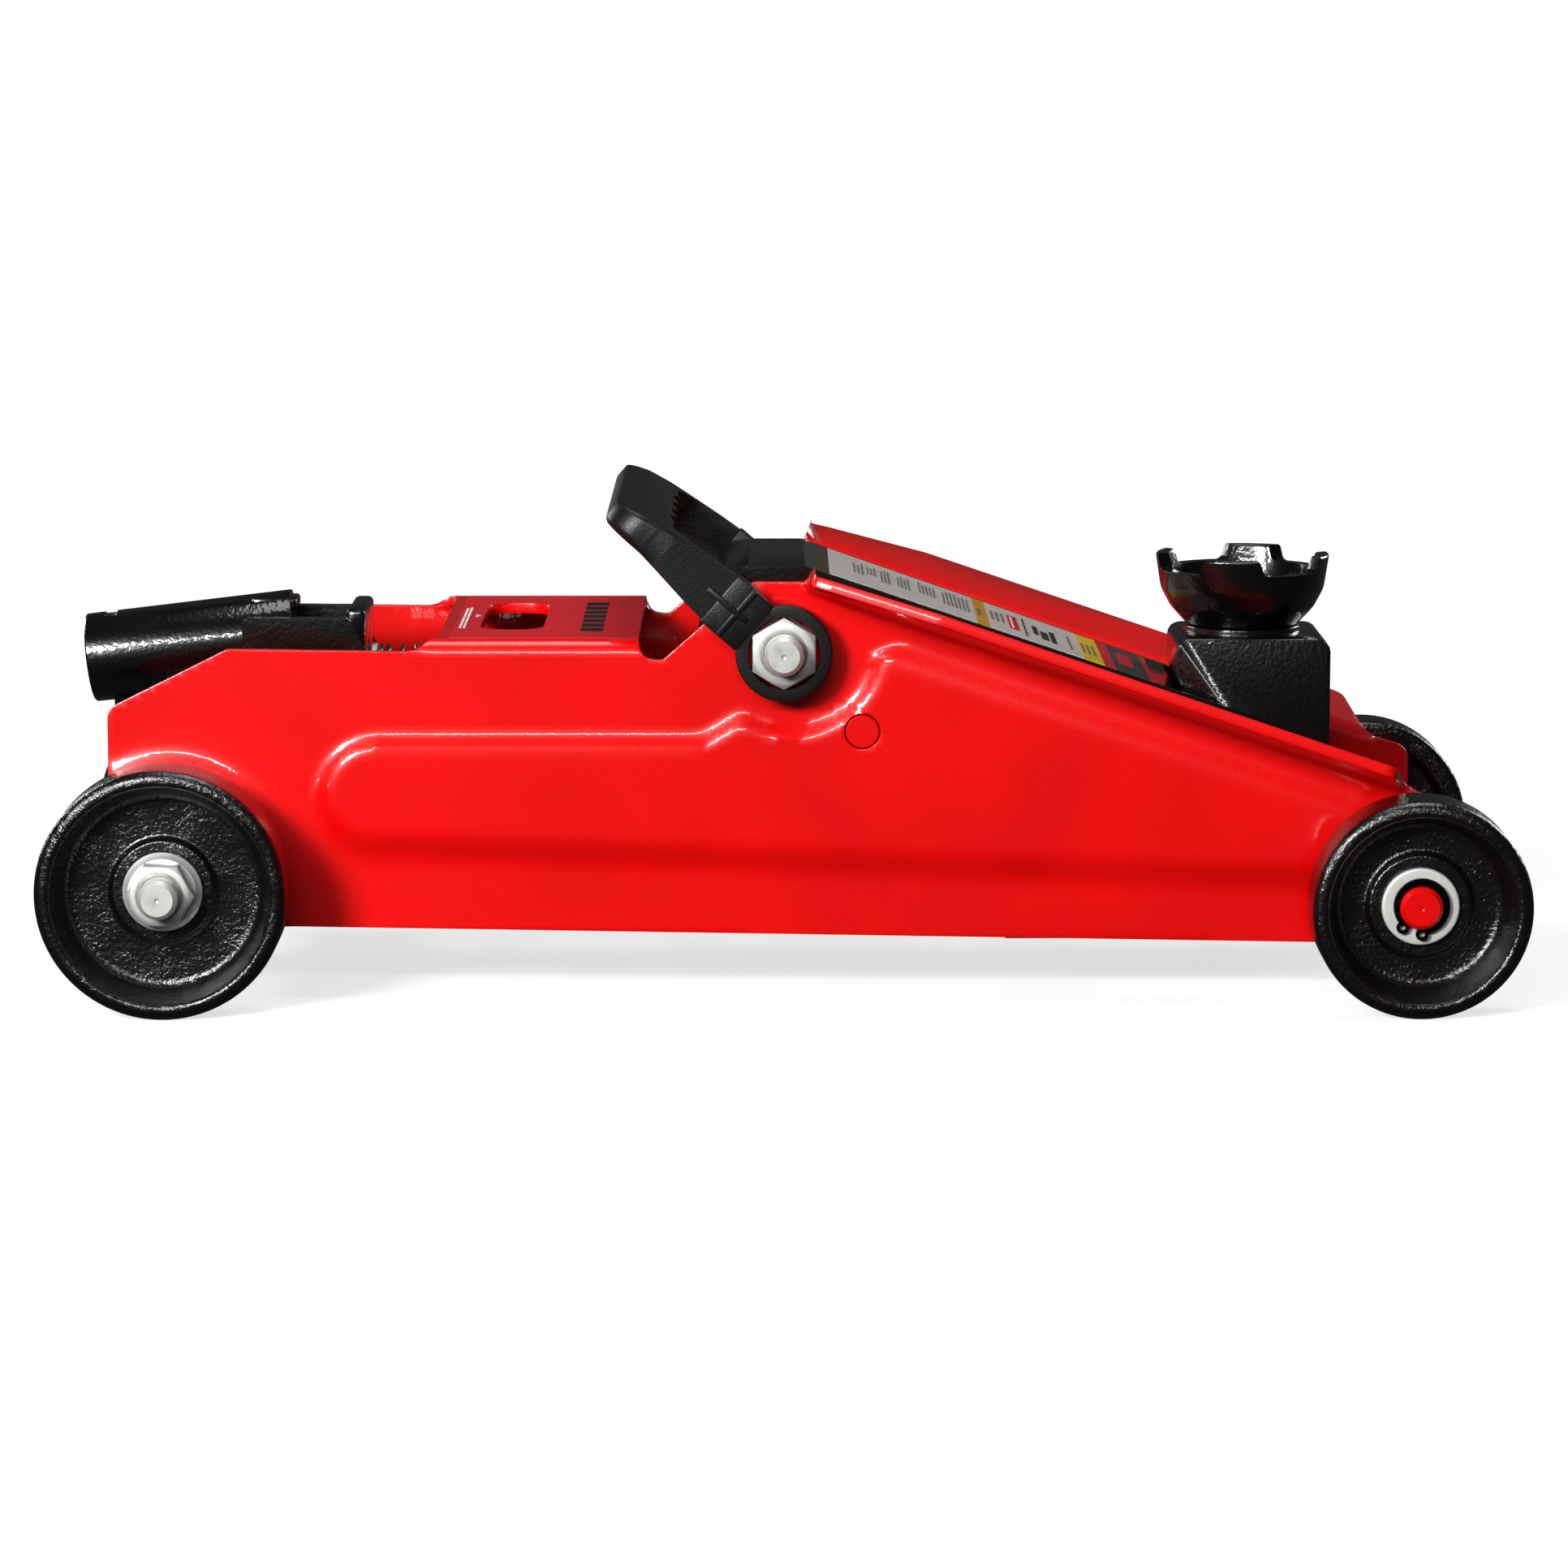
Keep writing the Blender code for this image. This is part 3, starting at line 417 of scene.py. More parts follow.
# %% [markdown]
# ## Printed film
# The labels are printed vinyl film. The ink lies under a thin gloss laminate, so every colour has the
# same sheen. Each ink is a material of its own, with a faint mottle that keeps it from looking like a
# flat fill.

# %% Film


def make_film(name, tone, roughness=0.38):
    material, tree, shader, place = new_material(name, Roughness=roughness, IOR=1.47, Coat_Weight=0.2)
    mottle = span(tree, grain(tree, place, 3 * MM), 0.35, 0.65, 0.0, 1.0)
    base = colour(tone)
    darker = (*[channel * 0.86 for channel in base[:3]], 1.0)
    blend_colours(tree, shader, mottle, base, darker)
    relief(tree, shader, grain(tree, place, 6 * MM), 0.02 * MM)
    return material


FILM = {
    "grey": make_film("film_pale_grey", "CDC6BF"),
    "charcoal": make_film("film_charcoal", "3A3836"),
    "ochre": make_film("film_ochre", "C9971A"),
    "yellow": make_film("film_yellow", "E6BE10"),
    "red": make_film("film_red", "C8101C"),
    "ink": make_film("film_black_ink", "161616"),
    "print": make_film("film_grey_print", "66625E"),
    "white": make_film("film_white_ink", "E8E4E0"),
    "rose": make_film("film_red_panel", "D01020", 0.45),
}
print(sorted(FILM))

# %% [markdown]
# ## The pressed frame
# The frame is one sheet of 3.2 mm steel. It is cut to a flat blank, embossed to stiffen it, and folded:
# inwards along the top of the rear half, which makes the web with its oval hole, and outwards along the
# slope, which makes the flanges. Here it is made in the same order. Half of the blank is drawn flat, its
# holes are cut, its edges are broken and planes slice it into a net of small faces. Then the
# press moves the net's points, and a mirror gives the other half.

# %% The blank: its outline, holes and net

SHEET = 3.2 * MM
REAR_END, FRONT_END = -0.2030, 0.2008
MIDDLE_Y = 0.058 - SHEET / 2
FOLD = 3.5 * MM
WEB_TOP_Z = 0.1093
WEB_FOLD_Z = WEB_TOP_Z - FOLD - SHEET / 2
WEB_END = WEB_FOLD_Z + FOLD * math.pi / 2 + MIDDLE_Y - FOLD
WEB_X = (-0.1040, -0.0436)
HOLE_X = (-0.0926, -0.0732)
HOLE_HALF = 0.033
PIVOT = Vector((0.0, 0.1063))
REAR_AXLE = Vector((-0.1845, 0.0374))
FRONT_AXLE = Vector((0.1891, 0.0328))
LINK_STUD = Vector((0.0235, 0.0820))

SLOPE_START = Vector((0.0085, 0.1267))
SLOPE_END = Vector((0.186, 0.0666))
SLOPE = (SLOPE_END - SLOPE_START).normalized()
SLOPE_LENGTH = (SLOPE_END - SLOPE_START).length
SLOPE_UP = Vector((-SLOPE.y, SLOPE.x))
FLANGE_TURN = math.radians(77)
FLANGE_FOLD = -SHEET / 2 - FOLD * 0.855
FLANGE_FLAT = 0.0285


def on_slope(along, above):
    """A point of the blank from its distance along the slope and above the fold line."""
    return tuple(SLOPE_START + SLOPE * along + SLOPE_UP * (above + FLANGE_FOLD))


def blank_outline():
    return rounded(
        [
            (REAR_END, 0.0240, 0.012),
            (REAR_END, 0.0885, 0.005),
            (-0.1668, 0.1065, 0.004),
            (WEB_X[0], 0.1056, 0.009),
            (WEB_X[0], WEB_END, 0),
            (HOLE_X[0], WEB_END, 0),
            (HOLE_X[0], WEB_END - HOLE_HALF, 0.008),
            (HOLE_X[1], WEB_END - HOLE_HALF, 0.008),
            (HOLE_X[1], WEB_END, 0),
            (WEB_X[1], WEB_END, 0),
            (WEB_X[1], 0.1040, 0.0045),
            (-0.0365, 0.1030, 0.003),
            (-0.0095, 0.1267, 0.004),
            (0.0066, 0.1267, 0.0015),
            (*on_slope(-0.0010, 0.0195), 0.003),
            (*on_slope(0.0050, 0.0215), 0.006),
            (*on_slope(0.0380, FLANGE_FLAT), 0.008),
            (*on_slope(SLOPE_LENGTH - 0.0060, FLANGE_FLAT), 0.004),
            (*on_slope(SLOPE_LENGTH - 0.0010, 0.0080), 0.003),
            (*on_slope(SLOPE_LENGTH + 0.0005, 0.0030), 0.002),
            (0.1915, 0.0628, 0.003),
            (FRONT_END, 0.0602, 0.005),
            (FRONT_END, 0.0180, 0.014),
            (0.1614, 0.0173, 0.010),
            (-0.1500, 0.0223, 0.020),
        ],
        steps=5,
    )


def bored(place, radius):
    return plate(circle(place, radius, 48), -0.01, 0.01)


def make_blank():
    holes = [
        bored(PIVOT, 0.0064),
        bored(REAR_AXLE, 0.0064),
        bored(FRONT_AXLE, 0.0069),
        bored(LINK_STUD, 0.0054),
    ]
    blank = united(plate(blank_outline(), -SHEET / 2, SHEET / 2), *holes, operation="DIFFERENCE")
    middle_cut = [f for f in blank.faces if abs(f.calc_center_median().z - WEB_END) < 0.01 * MM]
    bmesh.ops.delete(blank, geom=middle_cut, context="FACES_ONLY")
    break_edges(blank, 0.45 * MM, angle=60)
    return blank


def slice_net(bm, point, step, count, normal):
    """Slice the whole blank with parallel planes, so that its faces become a net."""
    for index in range(count):
        place = Vector(point) + Vector(normal) * step * index
        geometry = bm.verts[:] + bm.edges[:] + bm.faces[:]
        bmesh.ops.bisect_plane(bm, geom=geometry, dist=1e-7, plane_co=place, plane_no=normal)


NET = 2.2 * MM
FINE_NET = 0.7 * MM
blank = make_blank()
slice_net(blank, (REAR_END, 0, 0), NET, 184, (1, 0, 0))
slice_net(blank, (0, 0, 0.0180), NET, 40, (0, 0, 1))
slice_net(blank, (0, 0, WEB_FOLD_Z), FINE_NET, 9, (0, 0, 1))
fold_point = on_slope(0, 0)
slice_net(blank, (fold_point[0], 0, fold_point[1]), FINE_NET, 8, (SLOPE_UP.x, 0, SLOPE_UP.y))
bmesh.ops.remove_doubles(blank, verts=blank.verts, dist=0.01 * MM)
print("the blank has", len(blank.faces), "faces")

# %% [markdown]
# ### Pressing the panel
# The embossed panel stands 3 mm out of the sheet. Its edge is a ramp a few millimetres wide, and wider
# along the bottom, which is what catches the light. The panel's outline is an ordinary rounded outline,
# and a point's distance from that outline says how far up the ramp it is. A shallow disc about the rear
# axle is pressed in the same way.

# %% Emboss the blank

PANEL_RISE = 3.0 * MM
PANEL_RAMP = 5.0 * MM
LOWER_RAMP = 11.0 * MM
BOSS_RISE = 3.4 * MM
BOSS_RADIUS = 0.0405


def distance_inside(points, outline):
    """How far each (x, z) point lies inside an outline. It is negative outside."""
    starts = np.array(outline)
    ends = np.roll(starts, -1, axis=0)
    nearest = np.full(len(points), np.inf)
    inside = np.zeros(len(points), bool)
    for (ax, az), (bx, bz) in zip(starts, ends):
        run = np.array((bx - ax, bz - az))
        offset = points - (ax, az)
        share = np.clip(offset @ run / (run @ run), 0, 1)
        nearest = np.minimum(nearest, np.linalg.norm(offset - share[:, None] * run, axis=1))
        crosses = (az > points[:, 1]) != (bz > points[:, 1])
        reach = (bx - ax) * (points[:, 1] - az) / (bz - az if bz != az else 1) + ax
        inside ^= crosses & (points[:, 0] < reach)
    return np.where(inside, nearest, -nearest)


def ramp(value, low, high):
    share = np.clip((value - low) / (high - low), 0, 1)
    return share * share * (3 - 2 * share)


def panel_outline():
    recess = (0.0020, 0.1085)
    arc = [
        (recess[0] + 0.0268 * math.cos(a), recess[1] + 0.0268 * math.sin(a))
        for a in np.radians(np.linspace(237, 352, 24))
    ]
    return [
        *rounded([(-0.1390, 0.0410, 0.017), (-0.1390, 0.0788, 0.017), (0, 0.0788, 0)])[:-1],
        (-0.0262, 0.0788),
        (-0.0235, 0.0795),
        *arc,
        (0.060, 0.125),
        (0.185, 0.125),
        (0.185, 0.0362),
    ]


coords = np.array([vert.co[:] for vert in blank.verts])
flat = coords[:, [0, 2]]
above_fold = (flat - np.array(on_slope(0, 0))) @ np.array(SLOPE_UP)
reach = np.interp(flat[:, 1], (0.044, 0.058), (LOWER_RAMP, PANEL_RAMP)) / 2
panel = ramp(distance_inside(flat, panel_outline()), -reach, reach)
panel *= 1 - ramp(above_fold, -0.012, -0.002)
panel *= 1 - ramp(flat[:, 0], 0.172, 0.182)
from_axle = np.linalg.norm(flat - np.array(REAR_AXLE), axis=1)
boss = 1 - ramp(from_axle, BOSS_RADIUS - 0.010, BOSS_RADIUS)
dimples = sum(
    np.exp(-(((flat - np.array(place)) ** 2).sum(axis=1)) / (1.6 * MM) ** 2)
    for place in ((0.1600, 0.0480), (0.1742, 0.0630))
)
rise = np.maximum(PANEL_RISE * panel, BOSS_RISE * boss) + 0.5 * MM * dimples
coords[:, 1] += rise
print("pressed points:", int((rise > 0.1 * MM).sum()))

# %% [markdown]
# ### Folding it
# A fold turns the sheet about a line. Points past the line move onto an arc of 3.5 mm radius and then
# run on straight. Both folds fade out at their ends over a few millimetres, because the metal there is
# drawn and not torn. In this half the outer face is at +y until the mirror has run.

# %% Fold the web and the flange, and mirror


def folded(distance, offset, turn):
    """Where the sheet goes past a fold line: how far sideways, and how far on."""
    angle = np.clip(distance / FOLD, 0, turn)
    rest = np.maximum(distance - FOLD * turn, 0)
    sideways = FOLD - (FOLD + offset) * np.cos(angle) + rest * np.sin(angle)
    onwards = (FOLD + offset) * np.sin(angle) + rest * np.cos(angle)
    return sideways, onwards


def fold_web(coords):
    past = coords[:, 2] - WEB_FOLD_Z
    offset = coords[:, 1]
    sideways, onwards = folded(past, offset, math.pi / 2)
    weight = ramp(coords[:, 0], WEB_X[0] - 0.010, WEB_X[0] - 0.001)
    weight *= 1 - ramp(coords[:, 0], WEB_X[1], WEB_X[1] + 0.005)
    weight *= past > 0
    coords[:, 1] += weight * (-sideways - offset)
    coords[:, 2] += weight * (onwards - past)


def fold_flange(coords):
    flat = coords[:, [0, 2]] - np.array(on_slope(0, 0))
    along = flat @ np.array(SLOPE)
    past = flat @ np.array(SLOPE_UP)
    offset = coords[:, 1]
    sideways, onwards = folded(past, -offset, FLANGE_TURN)
    weight = ramp(along, -0.0030, -0.0002)
    weight *= 1 - ramp(along, SLOPE_LENGTH + 0.001, SLOPE_LENGTH + 0.006)
    weight *= (past > 0) & (coords[:, 0] > 0)
    coords[:, 1] += weight * (sideways - offset)
    coords[:, [0, 2]] += (weight * (onwards - past))[:, None] * np.array(SLOPE_UP)


fold_web(coords)
fold_flange(coords)
coords[:, 1] += MIDDLE_Y
for vert, place in zip(blank.verts, coords):
    vert.co = place
rim = [v for v in blank.verts if abs(v.co.y) < 0.05 * MM]
for vert in rim:
    vert.co.y = 0
bmesh.ops.mirror(
    blank,
    geom=blank.verts[:] + blank.edges[:] + blank.faces[:],
    matrix=Matrix.Identity(4),
    merge_dist=0.01 * MM,
    axis="Y",
)
bmesh.ops.recalc_face_normals(blank, faces=blank.faces)
open_edges = sum(not edge.is_manifold for edge in blank.edges)
frame_shell = piece("frame_shell", blank, RED, "chassis", ["frame"], sharp=28)
print("frame:", len(frame_shell.data.polygons), "faces,", open_edges, "open edges")

# %% [markdown]
# ## Cast wheels
# Each wheel is one casting: a broad tread, a deep dish and a hub that stands up a little in the middle
# of the dish. A wheel could be a cylinder with a Boolean dish, but a spun profile gives clean rings of
# faces, and every corner of the profile can have the generous round that sand casting needs.

# %% Wheels
HUB_BACK, TREAD_BACK, HUB_FACE, TREAD_FACE = 0.0622, 0.0725, 0.0825, 0.0930
DISH_FLOOR = HUB_FACE - 1.9 * MM


def wheel_profile(radius, rim, bore, steps=6):
    """Corners of a wheel's section, as (distance from the middle of the jack, radius, rounding)."""
    return rounded(
        [
            (HUB_BACK, bore, 0),
            (HUB_BACK, 0.0115, 0.0008),
            (TREAD_BACK + 0.003, 0.0128, 0.0020),
            (TREAD_BACK + 0.003, radius - rim, 0.0022),
            (TREAD_BACK, radius - rim + 0.0012, 0.0012),
            (TREAD_BACK, radius, 0.0020),
            (TREAD_FACE, radius, 0.0030),
            (TREAD_FACE, radius - 0.0046, 0.0016),
            (DISH_FLOOR, radius - 0.0082, 0.0032),
            (DISH_FLOOR, 0.0164, 0.0014),
            (HUB_FACE, 0.0149, 0.0009),
            (HUB_FACE, bore, 0),
        ],
        steps,
    )


def cast_wheel(name, side, centre, radius, rim, bore):
    bm = turned_on(side, centre, wheel_profile(radius, rim, bore), steps=160, closed=True)
    return piece(name + "_casting", bm, CASTING, name, [name], sharp=60)


for word, side in SIDES.items():
    cast_wheel(f"rear_wheel_{word}", side, REAR_AXLE, REAR_AXLE.y, 0.0085, 0.0063)
    made = cast_wheel(f"front_wheel_{word}", side, FRONT_AXLE, FRONT_AXLE.y, 0.0075, 0.0068)
print("one wheel has", len(made.data.polygons), "faces")

# %% [markdown]
# ## Nuts and bolt ends
# A hexagon nut is turned at its ends before the flats are finished, which leaves a curved chamfer on
# each corner. Cutting a turned blank with a hexagonal prism gives exactly those curves. The bolt ends
# carry their thread as rings, each one a real groove: at this pitch nobody can see whether it climbs.

# %% Nuts


def hexagon(centre, flats, turn=0.0):
    angles = [turn + math.tau * (i + 0.5) / 6 for i in range(6)]
    reach = flats / 2 / math.cos(math.pi / 6)
    return [(centre.x + reach * math.cos(a), centre.y + reach * math.sin(a)) for a in angles]


def nut(name, side, centre, seat, top, flats, flange, thread, turn=0.0):
    corner = flats / 2 / math.cos(math.pi / 6)
    chamfered = turned_on(
        side,
        centre,
        [
            (seat, 0),
            (seat, corner + 0.001),
            (top - 1.6 * MM, corner + 0.0005),
            (top - 0.9 * MM, corner - 0.5 * MM),
            (top - 0.25 * MM, flats / 2 + 0.1 * MM),
            (top, flats / 2 - 0.5 * MM),
            (top, 0),
        ],
    )
    low, high = sorted((side * (seat + 0.3 * MM), side * (top + MM)))
    prism = plate(hexagon(centre, flats, turn), low, high)
    body = united(prism, chamfered, operation="INTERSECT")
    break_edges(body, 0.22 * MM, angle=40)
    skirt = turned_on(
        side,
        centre,
        [
            (seat, 0),
            (seat, flange - 0.5 * MM),
            (seat + 0.5 * MM, flange),
            (seat + 1.1 * MM, flange - 0.1 * MM),
            (seat + 1.9 * MM, flange - 1.2 * MM),
            (seat + 2.6 * MM, min(corner, flange - 1.6 * MM)),
            (seat + 2.6 * MM, 0),
        ],
    )
    solid = united(body, skirt)
    hole = turned_on(
        side,
        centre,
        [
            (seat - 2 * MM, 0),
            (seat - 2 * MM, thread + 0.2 * MM),
            (top - 1.2 * MM, thread + 0.2 * MM),
            (top - 0.1 * MM, thread + 1.1 * MM),
            (top + 0.5 * MM, thread + 1.3 * MM),
            (top + 0.5 * MM, 0),
        ],
    )
    solid = united(solid, hole, operation="DIFFERENCE")
    return piece(name + "_finished", solid, ZINC, "chassis", [name], sharp=30)


for word, side in SIDES.items():
    nut(f"rear_axle_nut_{word}", side, REAR_AXLE, 0.0828, 0.0923, 0.0177, 0.0119, 0.006, turn=0.5)
    made = nut(f"pivot_nut_{word}", side, PIVOT, 0.0583, 0.0678, 0.0188, 0.0094, 0.006)
print("a nut has", len(made.data.polygons), "faces")

# %% [markdown]
# The rear axle and the pivot bolt are zinc plated and threaded. The front axle is a plain rod, and it
# was sprayed together with the frame.

# %% Axles and the pivot bolt


def threaded(name, centre, half, radius, thread_from, material, pitch=1.5 * MM):
    """A plain rod with threads towards both ends, chamfered ends and a turned dimple in each face."""
    depth = 0.55 * MM
    end = [
        (half - 1.2 * MM, radius - 0.1 * MM),
        (half - 0.35 * MM, radius - 0.9 * MM),
        (half, radius - 1.3 * MM),
        (half, 0.8 * MM),
        (half - 0.35 * MM, 0.35 * MM),
        (half - 0.4 * MM, 0),
    ]
    one_side = [(thread_from, radius)] if thread_from is not None else []
    place = thread_from
    while place is not None and place + pitch < half - 1.3 * MM:
        one_side += [
            (place + pitch * 0.30, radius - depth),
            (place + pitch * 0.42, radius - depth),
            (place + pitch * 0.78, radius),
            (place + pitch * 0.94, radius),
        ]
        place += pitch
    one_side += end
    profile = [(-along, r) for along, r in reversed(one_side)] + one_side
    bm = turned_on(1, centre, profile, steps=72)
    return piece(name + "_turned", bm, material, "chassis", [name], sharp=35)


threaded("rear_axle", REAR_AXLE, 0.0995, 0.006, 0.0835, ZINC)
threaded("pivot_bolt", PIVOT, 0.0745, 0.006, 0.0605, ZINC)
threaded("front_axle", FRONT_AXLE, 0.0880, 0.0065, None, RED)
print("the three axles are turned")

# %% [markdown]
# ### Washers and circlips
# The front wheels are held by a stamped washer and a circlip. A stamped washer has one rounded edge. The
# clip is a C of black spring steel, thicker opposite its gap, with an eye at each end for the pliers.
# The same loop sets the flush end of the link stud into each side plate.

# %% Washers, circlips and studs
WASHER_SEAT = HUB_FACE + 0.3 * MM
STUD_FACE = 0.0609


def arc_points(centre, radius, start, end, steps=40):
    angles = np.linspace(start, end, steps + 1)
    return [(centre[0] + radius * math.cos(a), centre[1] + radius * math.sin(a)) for a in angles]


def circlip(name, side, seat):
    gap_at, half_gap = math.radians(250), 0.42
    start, end = gap_at + half_gap, gap_at - half_gap + math.tau
    thicker = FRONT_AXLE + 0.0004 * Vector((math.cos(gap_at + math.pi), math.sin(gap_at + math.pi)))
    outside = arc_points(thicker, 0.0084, start, end)
    inside = arc_points(FRONT_AXLE, 0.0067, end, start)
    levels = sorted((side * seat, side * (seat + 1.2 * MM)))
    ring = plate(outside + inside, *levels)
    for angle in (start - 0.03, end + 0.03):
        eye = FRONT_AXLE + 0.0081 * Vector((math.cos(angle), math.sin(angle)))
        ring = united(ring, plate(circle(eye, 1.9 * MM, 28), *levels))
        hole = plate(circle(eye, 0.85 * MM, 20), levels[0] - MM, levels[1] + MM)
        ring = united(ring, hole, operation="DIFFERENCE")
    break_edges(ring, 0.12 * MM, segments=1, angle=50)
    return piece(name + "_sprung", ring, CLIP, "chassis", [name])


for word, side in SIDES.items():
    stamped = rounded(
        [
            (WASHER_SEAT, 0.0068, 0),
            (WASHER_SEAT, 0.0116, 0.0001),
            (WASHER_SEAT + 1.6 * MM, 0.0116, 0.0007),
            (WASHER_SEAT + 1.6 * MM, 0.0068, 0.0003),
        ]
    )
    washer = turned_on(side, FRONT_AXLE, stamped, closed=True)
    node = f"front_washer_{word}"
    piece(node + "_stamped", washer, WASHER_ZINC, "chassis", [node])
    circlip(f"front_circlip_{word}", side, WASHER_SEAT + 1.9 * MM)
    profile = [
        (0.0415, 0),
        (0.0415, 0.0050),
        (STUD_FACE - 0.3 * MM, 0.0050),
        (STUD_FACE, 0.0046),
        (STUD_FACE + 0.1 * MM, 0),
    ]
    node = f"link_stud_{word}"
    made = turned_on(side, LINK_STUD, profile, steps=64)
    piece(node + "_flush", made, RED, "chassis", [node])
print("washers, clips and studs are on")

# %% [markdown]
# ## Carry handle
# The handle is one moulding in the shape of a U: two flat arms, a wide grip with finger scallops across
# the end and a ring round each pivot nut. Seen from its open face it is a flat outline, so it starts as
# a plate. Its thickness then changes from the ring to the grip, which a net of slices lets it do
# smoothly.

# %% The handle's arms and grip

BAIL_TURN = math.radians(139)
BAIL_OUT = Vector((math.cos(BAIL_TURN), math.sin(BAIL_TURN)))
BAIL_ASIDE = Vector((BAIL_OUT.y, -BAIL_OUT.x))
ARM_IN, ARM_OUT = 0.0606, 0.0666
GRIP_END = 0.0668
GRIP_INSIDE = 0.0480
SCALLOPS = 4
SCALLOP_PITCH = 0.0195
SCALLOP_DEPTH = 2.4 * MM


def scallops():
    """The inner edge of the grip: shallow arcs that meet in sharp points, from +Y to -Y."""
    points = []
    for index in range(SCALLOPS):
        middle = ((SCALLOPS - 1) / 2 - index) * SCALLOP_PITCH
        for step in range(11):
            share = step / 10 * 2 - 1
            deep = SCALLOP_DEPTH * (1 - share * share)
            points.append((middle - share * SCALLOP_PITCH / 2, GRIP_INSIDE + deep))
    return points


def handle_outline():
    outer = rounded(
        [
            (-ARM_OUT, 0.0200, 0),
            (-ARM_OUT, GRIP_END, 0.0105),
            (ARM_OUT, GRIP_END, 0.0105),
            (ARM_OUT, 0.0200, 0),
            (ARM_IN, 0.0200, 0),
            (ARM_IN, GRIP_INSIDE + 0.0012, 0.0095),
            (0.0420, GRIP_INSIDE + 0.0012, 0),
            (-0.0420, GRIP_INSIDE + 0.0012, 0),
            (-ARM_IN, GRIP_INSIDE + 0.0012, 0.0095),
            (-ARM_IN, 0.0200, 0),
        ],
        steps=10,
    )
    at_scallops = max(index for index, point in enumerate(outer) if point[0] > 0) + 1
    return outer[:at_scallops] + scallops() + outer[at_scallops:]


BOW_HALF = 5.5 * MM
REACHES = (0.020, 0.033, 0.045, 0.052, 0.060, GRIP_END)
FRONT_FACE = (0.0088, 0.0077, 0.0063, 0.0054, 0.0038, 0.0016)
BACK_FACE = (-0.0088, -0.0077, -0.0063, -0.0056, -0.0056, -0.0058)


def to_bail(bm):
    """From (across the jack, thickness, reach) to the handle's place at rest."""
    for vert in bm.verts:
        across, thick, reach = vert.co
        place = PIVOT + BAIL_OUT * reach + BAIL_ASIDE * thick
        vert.co = (place.x, across, place.y)
    return bm


def in_one_face(edge):
    """True of an edge that lies in the front or the back face of the plate."""
    return abs(edge.verts[0].co.y - edge.verts[1].co.y) < 1e-6


def handle_bow():
    bow = plate(handle_outline(), -BOW_HALF, BOW_HALF)
    rim = [e for e in bow.edges if e.calc_face_angle(0) > 1.2 and in_one_face(e)]
    outer = [e for e in rim if all(abs(v.co.x) > 0.0640 or v.co.z > 0.0600 for v in e.verts)]
    inner = [e for e in rim if e not in outer]
    for edges, width in ((inner, 0.6 * MM), (outer, 2.6 * MM)):
        bevel_edges(bow, [e for e in edges if e.is_valid], width, 4)
    slice_net(bow, (0, 0, 0.0210), 1.5 * MM, 31, (0, 0, 1))
    for vert in bow.verts:
        faces = FRONT_FACE if vert.co.y > 0 else BACK_FACE
        vert.co.y *= abs(np.interp(vert.co.z, REACHES, faces)) / BOW_HALF
    bmesh.ops.remove_doubles(bow, verts=bow.verts, dist=0.02 * MM)
    return bow


bow = handle_bow()
print("the bow has", len(bow.faces), "faces")

# %% [markdown]
# Each arm ends in a ring about the pivot nut. Where the two meet, the moulding is stiffened by a block
# with a rib along it and a ridge across it.

# %% The rings and their blocks


def bail_brick(reach, across, thick, edge):
    """A block given by its spans along the reach, across the jack and through the handle."""
    bm = brick((min(across), thick[0], reach[0]), (max(across), thick[1], reach[1]))
    return break_edges(bm, edge)


def handle_end(side):
    """The block by the ring, with one rib along it and one ridge across it."""
    parts = [
        bail_brick((0.0115, 0.0255), (side * 0.0604, side * 0.0673), (-0.0089, 0.0089), 0.6 * MM),
        bail_brick((0.0150, 0.0300), (side * 0.0640, side * 0.0682), (-0.0009, 0.0009), 0.35 * MM),
        bail_brick((0.0178, 0.0196), (side * 0.0640, side * 0.0680), (-0.0086, 0.0086), 0.35 * MM),
    ]
    for bm in parts:
        to_bail(bm)
    corners = [(0.0606, 0, 0), (0.0606, 0.0145, 0.0006), (0.0668, 0.0145, 0.0006), (0.0668, 0, 0)]
    return united(turned_on(side, PIVOT, rounded(corners, steps=3)), *parts)


def handle_bore(side):
    return turned_on(side, PIVOT, [(0.055, 0), (0.055, 0.0109), (0.072, 0.0109), (0.072, 0)])


handle = united(to_bail(bow), handle_end(-1), handle_end(1))
for side in SIDES.values():
    handle = united(handle, handle_bore(side), operation="DIFFERENCE")
bmesh.ops.recalc_face_normals(handle, faces=handle.faces)
handle = piece(
    "carry_handle_moulded",
    handle,
    PLASTIC,
    "carry_handle",
    ["carry_handle"],
    sharp=35,
)
print("handle:", len(handle.data.polygons), "faces")

# %% [markdown]
# ## Saddle
# The saddle is a small iron cup with four lugs that grip the car. It is turned as a full-height bowl
# first. Two bars with flared sides then cut across it, and what they leave standing are the four lugs,
# each wider at its root. It stands a few degrees round, as a free-turning saddle does.

# %% The saddle
SADDLE_MIDDLE = Vector((0.142, 0, 0))
SEAT, RIM_LOW, RIM_TOP = 0.1135, 0.1243, 0.1292
SADDLE_TURN = math.radians(-12)


def saddle_bowl():
    section = rounded(
        [
            (0.0850, 0, 0),
            (0.0850, 0.0100, 0.0008),
            (0.1073, 0.0100, 0),
            (0.1073, 0.0172, 0.0015),
            (0.1128, 0.0222, 0.0080),
            (0.1185, 0.0252, 0.0100),
            (RIM_TOP, 0.0268, 0.0008),
            (RIM_TOP, 0.0226, 0.0010),
            (0.1195, 0.0208, 0.0060),
            (SEAT, 0.0160, 0.0040),
            (SEAT, 0, 0),
        ],
        steps=6,
    )
    return lathe(section, SADDLE_MIDDLE, "Z", steps=144)


